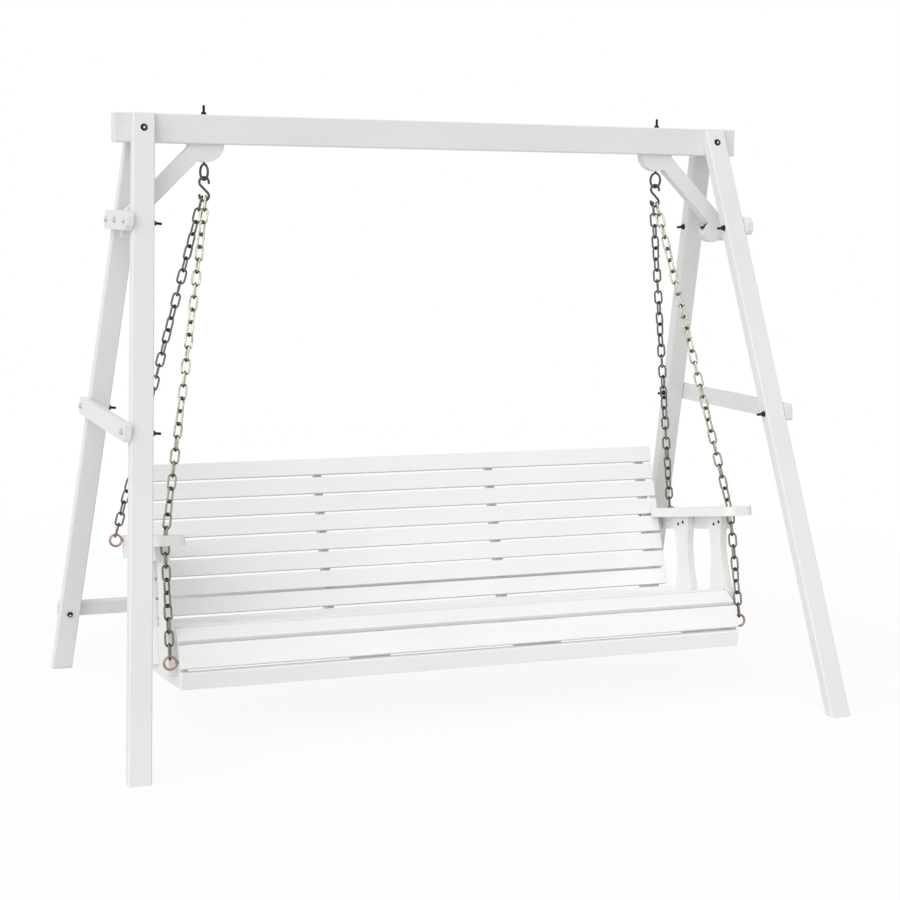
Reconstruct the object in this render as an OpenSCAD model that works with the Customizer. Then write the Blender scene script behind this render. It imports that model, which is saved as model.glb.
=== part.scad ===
// Garden swing: a splayed A-frame stand of white painted boards with a slatted bench on four chains.
// Millimetres, +Z up, the bench faces -Y, X runs along the top beam, the origin is on the floor.

/* [Stand] */
// height from the floor to the top of the beam
frame_height = 1700; // [1620:10:1780]
// how far the top beam runs past the middle of each A-frame
beam_overhang = 78; // [60:2:110]
// height of the beam's section
beam_height = 80; // [72:2:90]
// depth of the beam's section, front to rear
beam_depth = 60; // [54:2:66]
// distance between the middles of the two A-frames, at the top of the beam
side_spacing = 1754; // [1740:2:1790]
// how far each A-frame's feet stand outside its top
side_splay = 146; // [130:2:160]
// distance between the middles of a front foot and a rear foot
foot_spread = 1256; // [1200:4:1320]
// width of a leg's front face
leg_width = 60; // [54:1:64]
// thickness of a leg, front to rear
leg_thick = 38; // [34:1:42]
// thickness of the boards bolted to the outsides of the legs
side_board_thick = 20; // [16:1:24]
// height above the floor of the rear stretcher's middle
stretcher_z = 193; // [185:1:205]
// distance between the two eye bolts in the beam
hanger_spacing = 1404; // [1380:4:1430]

/* [Bench] */
// length of the slats
slat_length = 1700; // [1660:10:1710]
// how far the hanging bench leans back
bench_pitch = 9.5; // [7:0.5:12]
// height above the floor of the bench's own zero point
bench_z = 110; // [108:1:130]
// place of the bench's zero point, front to rear, which hangs its weight under the eye bolts
bench_y = -50; // [-62:1:-40]
// thickness of a slat
slat_thick = 18; // [15:1:20]
// thickness of ribs, battens and arm posts
rib_thick = 22; // [18:1:25]
// width of a back slat
back_slat_width = 50; // [44:1:53]
// distance from one back slat to the next
back_slat_pitch = 58; // [56:1:60]
// lean of the back from the bench's own upright
back_lean = 10.5; // [8:0.5:14]
// height of an arm's underside above the bench's zero point
arm_z = 387; // [370:1:400]
// thickness of an arm
arm_thick = 28; // [22:1:32]
// width of an arm at its front
arm_width = 95; // [88:1:98]
// width of an arm at its rear end
arm_rear_width = 70; // [66:1:74]

/* [Hardware] */
// distance from one chain link to the next
link_pitch = 35.5; // [34:0.5:38]
// diameter of the chain's wire
link_wire = 6; // [5:0.25:6.5]
// outer width of a chain link
link_width = 27; // [25:0.5:28]
// how far each link is turned past a quarter turn from the one before it
link_twist = 13.5; // [0:0.5:20]
// diameter of the wire of the hooks and eyes
hook_wire = 7; // [6:0.25:7.5]
// diameter of the bolts
bolt_d = 8; // [6:1:9]

/* [Hidden] */

$fn = 48;
LEFT = -1;
RIGHT = 1;
FRONT = -1;
REAR = 1;
paint = "#f1f0ea";
black_steel = "#26241f";
bronze = "#6b5a3c";

clearance = 0.4;      // gap all round a bolt in its hole
gap = 0.3;            // gap between two wires that hang in each other
ease = 2.5;           // flat planed along the long edges of every board
overrun = 60;         // how far a cutter or a blank runs past what it cuts

// ---- worked-out sizes of the stand ----
beam_length = side_spacing + 2 * beam_overhang;
beam_z = frame_height - beam_height / 2;
splay = atan(side_splay / frame_height);
side_length = frame_height / cos(splay);
leg_top_y = beam_depth / 2 - 4;
lean_slope = (foot_spread / 2 - leg_top_y) / side_length;
lean = atan(lean_slope);
upper_plate_drop = 0.174 * side_length;
crossbar_drop = 0.4964 * side_length;
upper_plate_width = 53;
crossbar_width = 50;
upper_plate_past = 37;    // how far the upper plate runs past its outer bolts
crossbar_past = 30;       // how far the crossbar runs past its bolts
bolt_side_x = side_spacing / 2 + side_splay * beam_height / 2 / frame_height;
bolt_seat_y = leg_top_y + leg_thick / 2 + 10;
thread_out = 16;      // thread that shows past a nut
washer_r = bolt_d / 2 + 5;
washer_t = 1.6;
washer_play = 0.05;   // between a washer and the head or nut on it
head_r = 7.5;
head_t = 5.5;
hole_r = bolt_d / 2 + clearance;

// ---- brace ----
brace_drop = upper_plate_drop * cos(splay) + 18;
brace_width = 45;
brace_thick = 36;
brace_top = [hanger_spacing / 2 + 6, frame_height - beam_height];
brace_foot = [side_x(frame_height - brace_drop) - 7, frame_height - brace_drop];
brace_axis = brace_foot + brace_width / 2 * [1, 1] - brace_top;
foot_r = 30;
nose_r = 50;
nose_x = hanger_spacing / 2 - 4;
brace_seat_x = -17;   // where the brace bolt's nut sits, from the middle of the A-frame

// ---- eye bolts, hooks and the swing's axis ----
eye_r = 21.5;
eye_z = frame_height - beam_height - 77;
eye_top_z = frame_height + 27;
hanger_x = hanger_spacing / 2;
axis_z = eye_z - eye_r + hook_wire + gap;
hook_r = 13.5;
hook_cross = 45;      // slope of the straight between the hook's two bends
hook_sweep = 250;
hook_reach = 2 * hook_r / cos(hook_cross);
hook_low_z = axis_z - 2 * hook_r - hook_reach;
eye_turn = 16;        // how far the beam's eyes are turned away from the swing's axis
seat_angle = 79;      // how far round the hook's lower bend each end link sits
link_roll = 20;       // turn of both end links, so that the two chains clear each other
link_lift = 1.2;      // how much higher a turned end link rides on its wire

// ---- bench outline, in the bench's own upright frame: [y, z] ----
end_x = slat_length / 2;
inner_x = 262;
rib_rear = [150, 147];
facets = [[63, 6], [63, 3], [63, 0], [63, -3], [63, -5], [63, -2], [54, 38], [68, 76], [52, 110]];
facet_gap = [6, 6, 6, 6, 6, 5, 2.5, 2.5, 3];
rib_heel = [[216, 147], [216, 48], [150, 32], [-60, 10]];
rib_toe = [-262, 0];
back_foot = rib_rear + [slat_thick, 0];
back_count = 8;
back_start = 22;
batten_low = -105;
batten_top = back_start + back_count * back_slat_pitch - 14;
batten_depth = [26, 42];
arm_front = -318;
arm_rear = 262;
arm_corner = 28;
arm_notch_y = 190;
arm_in_x = end_x - 28;
arm_out_x = arm_in_x + arm_width;
arm_rear_x = arm_in_x + arm_rear_width;
arm_hole = [end_x + 19, -250];
arm_hole_r = 20;
post_width = 108;
post_low = 35;
waist_r = 300;
waist_drop = 97;      // an arm post is narrowest this far under the arm
waist_z = arm_z - waist_drop;
front_post_y = -243;
rear_post_y = -8;
cleat_front = -218;
cleat_size = [20, 40];
block_size = [46, 60];
block_y = 214;

// ---- seat eyes ----
seat_eye_r = 17;
front_eye = [end_x + 22, -268, 70];
rear_eye_y = 236;
rear_eye_x = arm_edge_x(rear_eye_y) + 2 + hook_wire / 2 + seat_eye_r;
rear_eye = [rear_eye_x, rear_eye_y, arm_z + arm_thick / 2];

// outer edge of an arm, which tapers to the rear
function arm_edge_x(y) = arm_out_x + (arm_rear_x - arm_out_x) * (y - arm_front) / (arm_rear - arm_front);

// ==== helpers ====

// a board's section with its four long edges eased
module eased(w, h, e = ease) {
    polygon([
        [e, 0], [w - e, 0], [w, e], [w, h - e],
        [w - e, h], [e, h], [0, h - e], [0, e]
    ]);
}

// stands a [y, z] outline up and runs it along X, centred on x = at
module along_x(length, at = 0) {
    translate([at, 0, 0])
        rotate([90, 0, 90])
            linear_extrude(length, center = true)
                children();
}

// a cylinder along X from x0 to x1
module rod_x(x0, x1, r, sides = $fn) {
    translate([x0, 0, 0])
        rotate([0, 90, 0])
            cylinder(h = x1 - x0, r = r, $fn = sides);
}

// mirrors what is drawn for the right side when side is LEFT
module to_side(side) {
    mirror([side < 0 ? 1 : 0, 0, 0])
        children();
}

// the flat plane of one A-frame: x outwards, z = 0 at the top of the beam
module side_plane(side) {
    to_side(side)
        translate([side_spacing / 2, 0, frame_height])
            rotate([0, -splay, 0])
                children();
}

// the bench's own upright frame, hung at its lean
module hung() {
    translate([0, bench_y, bench_z])
        rotate([-bench_pitch, 0, 0])
            children();
}

function hung_point(p) = [
    p[0],
    bench_y + p[1] * cos(bench_pitch) + p[2] * sin(bench_pitch),
    bench_z - p[1] * sin(bench_pitch) + p[2] * cos(bench_pitch)
];

// middle of a leg at a drop down the A-frame, and middle of an A-frame at a height
function leg_y(drop) = leg_top_y + lean_slope * drop;
function side_x(z) = side_spacing / 2 + side_splay * (1 - z / frame_height);

function arc_points(c, r, from, to, n) = [
    for (i = [0:n]) c + r * [cos(from + (to - from) * i / n), sin(from + (to - from) * i / n)]
];

// washer along X on a seat that faces -X
module washer_under(seat) {
    difference() {
        rod_x(seat - washer_t, seat, washer_r);
        rod_x(seat - washer_t - 1, seat + 1, bolt_d / 2 + 0.2);
    }
}

// washer and nut along X on a seat that faces -X
module nut_under(seat) {
    nut_face = seat - washer_t - washer_play;
    washer_under(seat);
    difference() {
        rod_x(nut_face - head_t, nut_face, head_r, 6);
        rod_x(nut_face - head_t - 1, nut_face + 1, bolt_d / 2 + 0.1);
    }
}

// bolt, washers and nut along X, with the head's seat at x = out and the nut's seat at x = in
module bolt_set(in, out, past = thread_out) {
    head_face = out + washer_t + washer_play;
    rod_x(head_face, head_face + head_t, head_r, 6);
    rod_x(in - washer_t - head_t - past, head_face + 1, bolt_d / 2);
    washer_under(out + washer_t);
    nut_under(in);
}

// ==== stand ====

module beam_hole(r = hole_r) {
    for (side = [LEFT, RIGHT])
        translate([side * bolt_side_x, 0, beam_z])
            rotate([90, 0, 0])
                cylinder(h = 3 * beam_depth, r = r, center = true);
}

module hanger_holes() {
    for (side = [LEFT, RIGHT])
        translate([side * hanger_x, 0, eye_z])
            cylinder(h = frame_height - eye_z + overrun, r = hole_r);
}

module top_beam() {
    color(paint)
        difference() {
            along_x(beam_length)
                translate([-beam_depth / 2, frame_height - beam_height])
                    eased(beam_depth, beam_height);
            beam_hole();
            hanger_holes();
        }
}

// holes through the legs for the plate's and the crossbar's bolts, in the A-frame's plane
module side_holes() {
    for (drop = [upper_plate_drop, crossbar_drop])
        for (end = [FRONT, REAR])
            translate([0, end * leg_y(drop), -drop])
                rod_x(-leg_width, leg_width + overrun, hole_r);
    translate([0, 0, -upper_plate_drop])
        rod_x(-leg_width - overrun, leg_width + overrun, hole_r);
}

module leg_blank(end) {
    mirror([0, end < 0 ? 1 : 0, 0])
        translate([0, leg_top_y, 0])
            rotate([lean, 0, 0])
                translate([-leg_width / 2, -leg_thick / 2, -side_length * 1.06 - overrun])
                    linear_extrude(side_length * 1.06 + 2 * overrun)
                        eased(leg_width, leg_thick);
}

module leg(side, end) {
    color(paint)
        difference() {
            side_plane(side)
                difference() {
                    leg_blank(end);
                    side_holes();
                    if (end == REAR)
                        stretcher_hole();
                }
            // square cuts at the floor and at the top, and the seat against the beam
            translate([-frame_height, -frame_height, -4 * overrun])
                cube([2 * frame_height, 2 * frame_height, 4 * overrun]);
            translate([-frame_height, -frame_height, frame_height])
                cube([2 * frame_height, 2 * frame_height, 4 * overrun]);
            translate([-frame_height, -beam_depth / 2, frame_height / 2])
                cube([2 * frame_height, beam_depth, frame_height]);
            beam_hole();
            for (s = [FRONT, REAR])
                translate([side * bolt_side_x, s * bolt_seat_y, beam_z])
                    rotate([s < 0 ? 90 : -90, 0, 0])
                        cylinder(h = overrun, r = washer_r + 1.5);
            if (end == REAR)
                stretcher_blank();
        }
}

module front_leg_left() {
    leg(LEFT, FRONT);
}

module front_leg_right() {
    leg(RIGHT, FRONT);
}

module rear_leg_left() {
    leg(LEFT, REAR);
}

module rear_leg_right() {
    leg(RIGHT, REAR);
}

// a board across the outsides of the legs, with its ends cut to blunt points
module side_board(side, drop, width, past, cut) {
    half = leg_y(drop) + past;
    h = width / 2;
    color(paint)
        side_plane(side)
            difference() {
                translate([leg_width / 2 + side_board_thick / 2, 0, -drop])
                    along_x(side_board_thick)
                        polygon([
                            [-half + cut, -h], [half - cut, -h], [half, -h + cut], [half, h - cut],
                            [half - cut, h], [-half + cut, h], [-half, h - cut], [-half, -h + cut]
                        ]);
                side_holes();
            }
}

module upper_plate_left() {
    side_board(LEFT, upper_plate_drop, upper_plate_width, upper_plate_past, 14);
}

module upper_plate_right() {
    side_board(RIGHT, upper_plate_drop, upper_plate_width, upper_plate_past, 14);
}

module lower_crossbar_left() {
    side_board(LEFT, crossbar_drop, crossbar_width, crossbar_past, 6);
}

module lower_crossbar_right() {
    side_board(RIGHT, crossbar_drop, crossbar_width, crossbar_past, 6);
}

// slanting board from a round foot at the upper plate to a round nose under the beam
module brace(side) {
    color(paint)
        to_side(side)
            difference() {
                rotate([90, 0, 0])
                    linear_extrude(brace_thick, center = true)
                        difference() {
                            union() {
                                translate(brace_top)
                                    rotate(atan2(brace_axis[1], brace_axis[0]))
                                        translate([-brace_width, -brace_width / 2])
                                            square([norm(brace_axis) + 2 * brace_width, brace_width]);
                                translate(brace_foot)
                                    rotate(-45)
                                        circle(r = foot_r);
                                translate([nose_x, frame_height - beam_height])
                                    rotate(-90)
                                        circle(r = nose_r);
                            }
                            translate([0, frame_height - beam_height])
                                square([frame_height, frame_height]);
                        }
                hanger_holes();
                side_plane(RIGHT) {
                    translate([leg_width / 2, -overrun, -2 * upper_plate_drop])
                        cube([overrun, 2 * overrun, 2 * upper_plate_drop]);
                    side_holes();
                    translate([0, 0, -upper_plate_drop])
                        rod_x(brace_seat_x - 2 * overrun, brace_seat_x, washer_r + 1.5);
                }
            }
}

module brace_left() {
    brace(LEFT);
}

module brace_right() {
    brace(RIGHT);
}

// the stretcher lies on the sloping rear faces of the rear legs, let in by a hair
stretcher_thick = 20;
stretcher_width = 45;
stretcher_half = side_x(stretcher_z) + leg_width / 2 / cos(splay) + 1.5;
stretcher_drop = (frame_height - stretcher_z) / cos(splay);
stretcher_y = leg_y(stretcher_drop) + leg_thick / 2 / cos(lean) - 1.3;
stretcher_lean = atan(lean_slope / cos(splay));

module stretcher_blank() {
    translate([0, stretcher_y, stretcher_z])
        rotate([stretcher_lean, 0, 0])
            translate([-stretcher_half, 0, -stretcher_width / 2])
                cube([2 * stretcher_half, stretcher_thick, stretcher_width]);
}

// places a bolt along X onto the axis that runs square through a rear leg at the stretcher
module at_stretcher_bolt() {
    translate([0, leg_y(stretcher_drop), -stretcher_drop])
        rotate([lean, 0, 0])
            rotate([0, 0, -90])
                children();
}

module stretcher_hole() {
    at_stretcher_bolt()
        rod_x(-2 * overrun, 2 * overrun, hole_r);
}

stretcher_nut_seat = -leg_thick / 2 - stretcher_thick + 2.1;

module rear_stretcher() {
    color(paint)
        difference() {
            stretcher_blank();
            for (side = [LEFT, RIGHT])
                side_plane(side) {
                    stretcher_hole();
                    at_stretcher_bolt()
                        rod_x(stretcher_nut_seat - overrun, stretcher_nut_seat, washer_r + 1.5);
                }
        }
}

module beam_bolts() {
    color(black_steel)
        for (side = [LEFT, RIGHT])
            translate([side * bolt_side_x, 0, beam_z])
                rotate([0, 0, -90])
                    bolt_set(-bolt_seat_y, bolt_seat_y, 6);
}

module side_bolts() {
    color(black_steel)
        for (side = [LEFT, RIGHT])
            side_plane(side) {
                for (drop = [upper_plate_drop, crossbar_drop])
                    for (end = [FRONT, REAR])
                        translate([0, end * leg_y(drop), -drop])
                            bolt_set(-leg_width / 2, leg_width / 2 + side_board_thick);
                translate([0, 0, -upper_plate_drop])
                    bolt_set(brace_seat_x, leg_width / 2 + side_board_thick);
            }
}

module stretcher_bolts() {
    color(black_steel)
        for (side = [LEFT, RIGHT])
            side_plane(side)
                at_stretcher_bolt()
                    bolt_set(stretcher_nut_seat, leg_thick / 2, 4);
}

// ==== hanging hardware ====

// a full ring of wire in the YZ plane
module ring_yz(r, wire) {
    rotate([0, 90, 0])
        rotate_extrude()
            translate([r, 0])
                circle(d = wire);
}

module top_eye_bolts() {
    color(bronze)
        for (side = [LEFT, RIGHT])
            translate([side * hanger_x, 0, eye_z]) {
                rotate([0, 0, eye_turn])
                    ring_yz(eye_r, hook_wire);
                translate([0, 0, eye_r])
                    cylinder(h = eye_top_z - eye_z - eye_r, r = bolt_d / 2);
            }
}

// washer and nut on top of the beam
module top_eye_nuts() {
    color(black_steel)
        for (side = [LEFT, RIGHT])
            translate([side * hanger_x, 0, frame_height])
                difference() {
                    union() {
                        cylinder(h = washer_t, r = washer_r + 2);
                        translate([0, 0, washer_t + washer_play])
                            cylinder(h = head_t + 1, r = head_r, $fn = 6);
                    }
                    translate([0, 0, -1])
                        cylinder(h = head_t + washer_t + 3, r = bolt_d / 2 + 0.1);
                }
}

// one bend of a hook in the XZ plane, from the end of the straight over its top
module hook_bend() {
    mirror([1, 0, 0])
        translate([-hook_r, 0, hook_r])
            rotate([90, 0, 0])
                rotate_extrude(angle = hook_sweep)
                    translate([hook_r, 0])
                        circle(d = hook_wire);
}

// S-hook: two bends and the straight that crosses between them
module s_hook(side) {
    color(bronze)
        translate([side * hanger_x, 0, axis_z - hook_r - hook_reach / 2])
            rotate([0, hook_cross - 90, 0]) {
                cylinder(h = 2 * hook_r, d = hook_wire, center = true);
                for (turn = [0, 180])
                    rotate([0, turn, 0])
                        hook_bend();
            }
}

module s_hook_left() {
    s_hook(LEFT);
}

module s_hook_right() {
    s_hook(RIGHT);
}

// one chain link in the XZ plane, which spans a given distance between its two neighbours
module link(span) {
    bend_r = (link_width - link_wire) / 2;
    half = round(100 * ((span + link_wire + gap) / 2 - bend_r)) / 100;
    for (turn = [0, 180])
        rotate([0, turn, 0]) {
            translate([0, 0, half])
                rotate([90, 0, 0])
                    rotate_extrude(angle = 180)
                        translate([bend_r, 0])
                            circle(d = link_wire, $fn = 24);
            translate([bend_r, 0, -half])
                cylinder(h = 2 * half, d = link_wire, $fn = 24);
        }
}

// a link from point a to point b; at turn 0 its flat side faces the front, at 90 it faces X
module link_between(a, b, turn) {
    v = (b - a) / norm(b - a);
    tilt = acos(v[2]);
    bearing = atan2(v[1], v[0]);
    roll = atan2(-sin(bearing), cos(tilt) * cos(bearing));
    translate((a + b) / 2)
        rotate([0, tilt, bearing])
            rotate([0, 0, roll + turn])
                link(norm(b - a));
}

// number of links in a run, which is the same on both sides
function links_in(length) = floor(length / link_pitch + 0.3);

// turn from link to link, rounded so that a chain's last link sits in its eye as its first does on the hook
function link_step(count) = 180 * round((count - 1) * (90 + link_twist) / 180) / (count - 1);

// a straight run of links from point a to point b, the first one being link number "first"
module chain_run(a, b, count, first, step) {
    for (i = [0:count - 1])
        link_between(
            a + (b - a) * i / count,
            a + (b - a) * (i + 1) / count,
            90 + link_roll + (first + i) * step
        );
}

// the middle of an end link's wire stands this far from the middle of the wire that it hangs on
bearing_drop = (hook_wire + link_wire) / 2 + gap;

// a chain's end, for an end link whose wire is centred at p, when it is pulled towards q
function bearing_point(p, q) = p + (q - p) / norm(q - p) * (link_wire + gap) / 2;

// seat of an end link's wire on the hook, the front chain to the right of the rear one
function hook_seat(side, end) = let (r = hook_r - bearing_drop - link_lift)
    [side * hanger_x - end * r * sin(seat_angle), 0, hook_low_z + hook_r - r * cos(seat_angle)];

// a point of the right half of the hanging bench, taken to a side
function on_side(side, p) = let (h = hung_point(p)) [side * h[0], h[1], h[2]];

// seat of an end link's wire in an eye, straight under the top of the ring as the chain pulls from p
function eye_seat(side, eye, p) =
    let (top = on_side(side, eye + [0, 0, seat_eye_r]), pull = [0, top[1] - p[1], top[2] - p[2]])
    top + bearing_drop * pull / norm(pull);

// the front chain bends where it drops through the arm
module chain_front(side) {
    bend = on_side(side, [arm_hole[0], arm_hole[1], arm_z + arm_thick / 2]);
    start = bearing_point(hook_seat(side, FRONT), bend);
    finish = bearing_point(eye_seat(side, front_eye, bend), bend);
    upper_links = links_in(norm(bend - start));
    lower_links = links_in(norm(finish - bend));
    step = link_step(upper_links + lower_links);
    color(bronze) {
        chain_run(start, bend, upper_links, 0, step);
        chain_run(bend, finish, lower_links, upper_links, step);
    }
}

module chain_rear(side) {
    top_seat = hook_seat(side, REAR);
    low_seat = eye_seat(side, rear_eye, top_seat);
    start = bearing_point(top_seat, low_seat);
    finish = bearing_point(low_seat, top_seat);
    links = links_in(norm(finish - start));
    color(bronze)
        chain_run(start, finish, links, 0, link_step(links));
}

module chain_front_left() {
    chain_front(LEFT);
}

module chain_front_right() {
    chain_front(RIGHT);
}

module chain_rear_left() {
    chain_rear(LEFT);
}

module chain_rear_right() {
    chain_rear(RIGHT);
}

// ==== bench ====

// corner number i of the rib's upper edge, walked from the rear, over the nose and down
function rib_point(i) =
    i == 0 ? rib_rear : rib_point(i - 1) - facets[i - 1][0] * [cos(facets[i - 1][1]), sin(facets[i - 1][1])];

module rib_outline() {
    polygon(concat([for (i = [0:len(facets)]) rib_point(i)], [rib_toe], [for (i = [3:-1:0]) rib_heel[i]]));
}

// holes along X for the four seat eye bolts
module seat_eye_holes() {
    for (side = [LEFT, RIGHT])
        to_side(side)
            for (eye = [front_eye, rear_eye])
                translate([0, eye[1], eye[2]])
                    rod_x(end_x - 4 * rib_thick, eye[0], hole_r);
}

module rib(at) {
    color(paint)
        hung()
            difference() {
                along_x(rib_thick, at)
                    rib_outline();
                seat_eye_holes();
            }
}

module end_rib_left() {
    rib(-end_x + rib_thick / 2);
}

module end_rib_right() {
    rib(end_x - rib_thick / 2);
}

module inner_rib_left() {
    rib(-inner_x);
}

module inner_rib_right() {
    rib(inner_x);
}

// slat on facet number i of the ribs
module rib_slat(i) {
    width = facets[i][0] - facet_gap[i];
    color(paint)
        hung()
            along_x(slat_length)
                translate(rib_point(i))
                    rotate(180 + facets[i][1])
                        translate([facet_gap[i] / 2, -slat_thick])
                            eased(width, slat_thick);
}

module seat_slat_1() {
    rib_slat(0);
}

module seat_slat_2() {
    rib_slat(1);
}

module seat_slat_3() {
    rib_slat(2);
}

module seat_slat_4() {
    rib_slat(3);
}

module seat_slat_5() {
    rib_slat(4);
}

module seat_slat_6() {
    rib_slat(5);
}

module shoulder_slat() {
    rib_slat(6);
}

module nose_slat() {
    rib_slat(7);
}

module front_apron() {
    rib_slat(8);
}

// the back's own frame: x up along the back, y forwards
module back_frame() {
    translate(back_foot)
        rotate(90 - back_lean)
            children();
}

module batten(at) {
    color(paint)
        hung()
            difference() {
                along_x(rib_thick, at)
                    back_frame()
                        polygon([
                            [batten_low, 0], [batten_top, 0], [batten_top, -batten_depth[0] + 10],
                            [batten_top - 10, -batten_depth[0]], [back_start + 60, -batten_depth[1]],
                            [batten_low + 14, -batten_depth[1]], [batten_low, -batten_depth[1] + 14]
                        ]);
                seat_eye_holes();
            }
}

module end_batten_left() {
    batten(-end_x + rib_thick * 1.5);
}

module end_batten_right() {
    batten(end_x - rib_thick * 1.5);
}

module inner_batten_left() {
    batten(-inner_x - rib_thick);
}

module inner_batten_right() {
    batten(inner_x + rib_thick);
}

// back slat number n, counted from the top
module back_slat(n) {
    color(paint)
        hung()
            along_x(slat_length)
                back_frame()
                    translate([back_start + (back_count - n) * back_slat_pitch, 0])
                        eased(back_slat_width, slat_thick);
}

module back_slat_1() {
    back_slat(1);
}

module back_slat_2() {
    back_slat(2);
}

module back_slat_3() {
    back_slat(3);
}

module back_slat_4() {
    back_slat(4);
}

module back_slat_5() {
    back_slat(5);
}

module back_slat_6() {
    back_slat(6);
}

module back_slat_7() {
    back_slat(7);
}

module back_slat_8() {
    back_slat(8);
}

// screw places on one post, as [y, z]
function screw_places(y) = [[y + 34, arm_z - 18], [y + 66, arm_z - 24]];

module screw_holes(y) {
    for (p = screw_places(y))
        translate([0, p[0], p[1]])
            rod_x(end_x - 1, end_x + rib_thick + cleat_size[0] - 4, 2.6);
}

// front arm post: hollowed front and rear edges, flared towards the seat
module front_post(side) {
    color(paint)
        hung()
            to_side(side)
                difference() {
                    along_x(rib_thick, end_x + rib_thick / 2)
                        difference() {
                            translate([front_post_y, post_low])
                                square([post_width, arm_z - post_low]);
                            translate([front_post_y + 30 - waist_r, waist_z])
                                circle(r = waist_r, $fn = 180);
                            translate([front_post_y + post_width - 14 + waist_r, waist_z])
                                circle(r = waist_r, $fn = 180);
                        }
                    screw_holes(front_post_y);
                }
}

module front_post_left() {
    front_post(LEFT);
}

module front_post_right() {
    front_post(RIGHT);
}

// rear arm post: waisted alike on both edges
module rear_post(side) {
    color(paint)
        hung()
            to_side(side)
                difference() {
                    along_x(rib_thick, end_x + rib_thick / 2)
                        difference() {
                            translate([rear_post_y, post_low + 14])
                                square([post_width - 8, arm_z - post_low - 14]);
                            translate([rear_post_y + 13 - waist_r, waist_z - 20])
                                circle(r = waist_r, $fn = 180);
                            translate([rear_post_y + post_width - 8 - 13 + waist_r, waist_z - 20])
                                circle(r = waist_r, $fn = 180);
                        }
                    screw_holes(rear_post_y);
                }
}

module rear_post_left() {
    rear_post(LEFT);
}

module rear_post_right() {
    rear_post(RIGHT);
}

// block behind the slats that joins the arm to the end batten
module arm_block(side) {
    color(paint)
        hung()
            to_side(side)
                difference() {
                    translate([end_x - rib_thick, block_y, arm_z - block_size[1]])
                        cube([2 * rib_thick, block_size[0], block_size[1]]);
                    seat_eye_holes();
                }
}

module arm_block_left() {
    arm_block(LEFT);
}

module arm_block_right() {
    arm_block(RIGHT);
}

// strip under the arm, outside the posts
module arm_cleat(side) {
    color(paint)
        hung()
            to_side(side)
                difference() {
                    translate([end_x + rib_thick, cleat_front, arm_z - cleat_size[1]])
                        cube([cleat_size[0], arm_rear - cleat_front, cleat_size[1]]);
                    seat_eye_holes();
                    screw_holes(front_post_y);
                    screw_holes(rear_post_y);
                }
}

module arm_cleat_left() {
    arm_cleat(LEFT);
}

module arm_cleat_right() {
    arm_cleat(RIGHT);
}

// arm: round front corners, a hole for the front chain and a notch round the end of the back
module armrest(side) {
    r = arm_corner;
    corner_x = arm_edge_x(arm_front + r) - r;
    color(paint)
        hung()
            to_side(side)
                difference() {
                    translate([0, 0, arm_z])
                        linear_extrude(arm_thick)
                            polygon(concat(
                                arc_points([arm_in_x + r, arm_front + r], r, 180, 270, 10),
                                arc_points([corner_x, arm_front + r], r, 270, 360, 10),
                                [[arm_edge_x(arm_rear - 8), arm_rear - 8], [arm_rear_x - 8, arm_rear]],
                                [[end_x + 0.3, arm_rear]],
                                [[end_x + 0.3, arm_notch_y], [arm_in_x, arm_notch_y]]
                            ));
                    translate([arm_hole[0], arm_hole[1], arm_z - 1])
                        cylinder(h = arm_thick + 2, r = arm_hole_r);
                    seat_eye_holes();
                }
}

module armrest_left() {
    armrest(LEFT);
}

module armrest_right() {
    armrest(RIGHT);
}

// eye bolt along X: the ring stands outside, the nut and washer are on the inside
module seat_eye(eye, nut_seat) {
    translate(eye)
        rotate([90, 0, 0])
            rotate_extrude()
                translate([seat_eye_r, 0])
                    circle(d = hook_wire);
    translate([0, eye[1], eye[2]]) {
        rod_x(nut_seat - washer_t - head_t - 5, eye[0] - seat_eye_r, bolt_d / 2);
        nut_under(nut_seat);
    }
}

module seat_eye_bolts() {
    color(bronze)
        hung()
            for (side = [LEFT, RIGHT])
                to_side(side) {
                    seat_eye(front_eye, end_x - rib_thick);
                    seat_eye(rear_eye, end_x - 2 * rib_thick);
                }
}

// two screws through each arm post into the cleat, heads on the inside
module post_screws() {
    color(black_steel)
        hung()
            for (side = [LEFT, RIGHT])
                to_side(side)
                    for (y = [front_post_y, rear_post_y])
                        for (p = screw_places(y))
                            translate([0, p[0], p[1]]) {
                                rod_x(end_x - 2.4, end_x, 5);
                                rod_x(end_x - 1, end_x + rib_thick + cleat_size[0] - 5, 2.2);
                            }
}

top_beam();
front_leg_left();
front_leg_right();
rear_leg_left();
rear_leg_right();
upper_plate_left();
upper_plate_right();
lower_crossbar_left();
lower_crossbar_right();
brace_left();
brace_right();
rear_stretcher();
beam_bolts();
side_bolts();
stretcher_bolts();
top_eye_bolts();
top_eye_nuts();
s_hook_left();
s_hook_right();
chain_front_left();
chain_front_right();
chain_rear_left();
chain_rear_right();
end_rib_left();
end_rib_right();
inner_rib_left();
inner_rib_right();
seat_slat_1();
seat_slat_2();
seat_slat_3();
seat_slat_4();
seat_slat_5();
seat_slat_6();
shoulder_slat();
nose_slat();
front_apron();
end_batten_left();
end_batten_right();
inner_batten_left();
inner_batten_right();
back_slat_1();
back_slat_2();
back_slat_3();
back_slat_4();
back_slat_5();
back_slat_6();
back_slat_7();
back_slat_8();
front_post_left();
front_post_right();
rear_post_left();
rear_post_right();
arm_block_left();
arm_block_right();
arm_cleat_left();
arm_cleat_right();
armrest_left();
armrest_right();
seat_eye_bolts();
post_screws();
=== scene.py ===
"""Garden swing: paints the boards of a bench and its stand, and makes the chains, hooks, eyes and bolts."""

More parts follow.
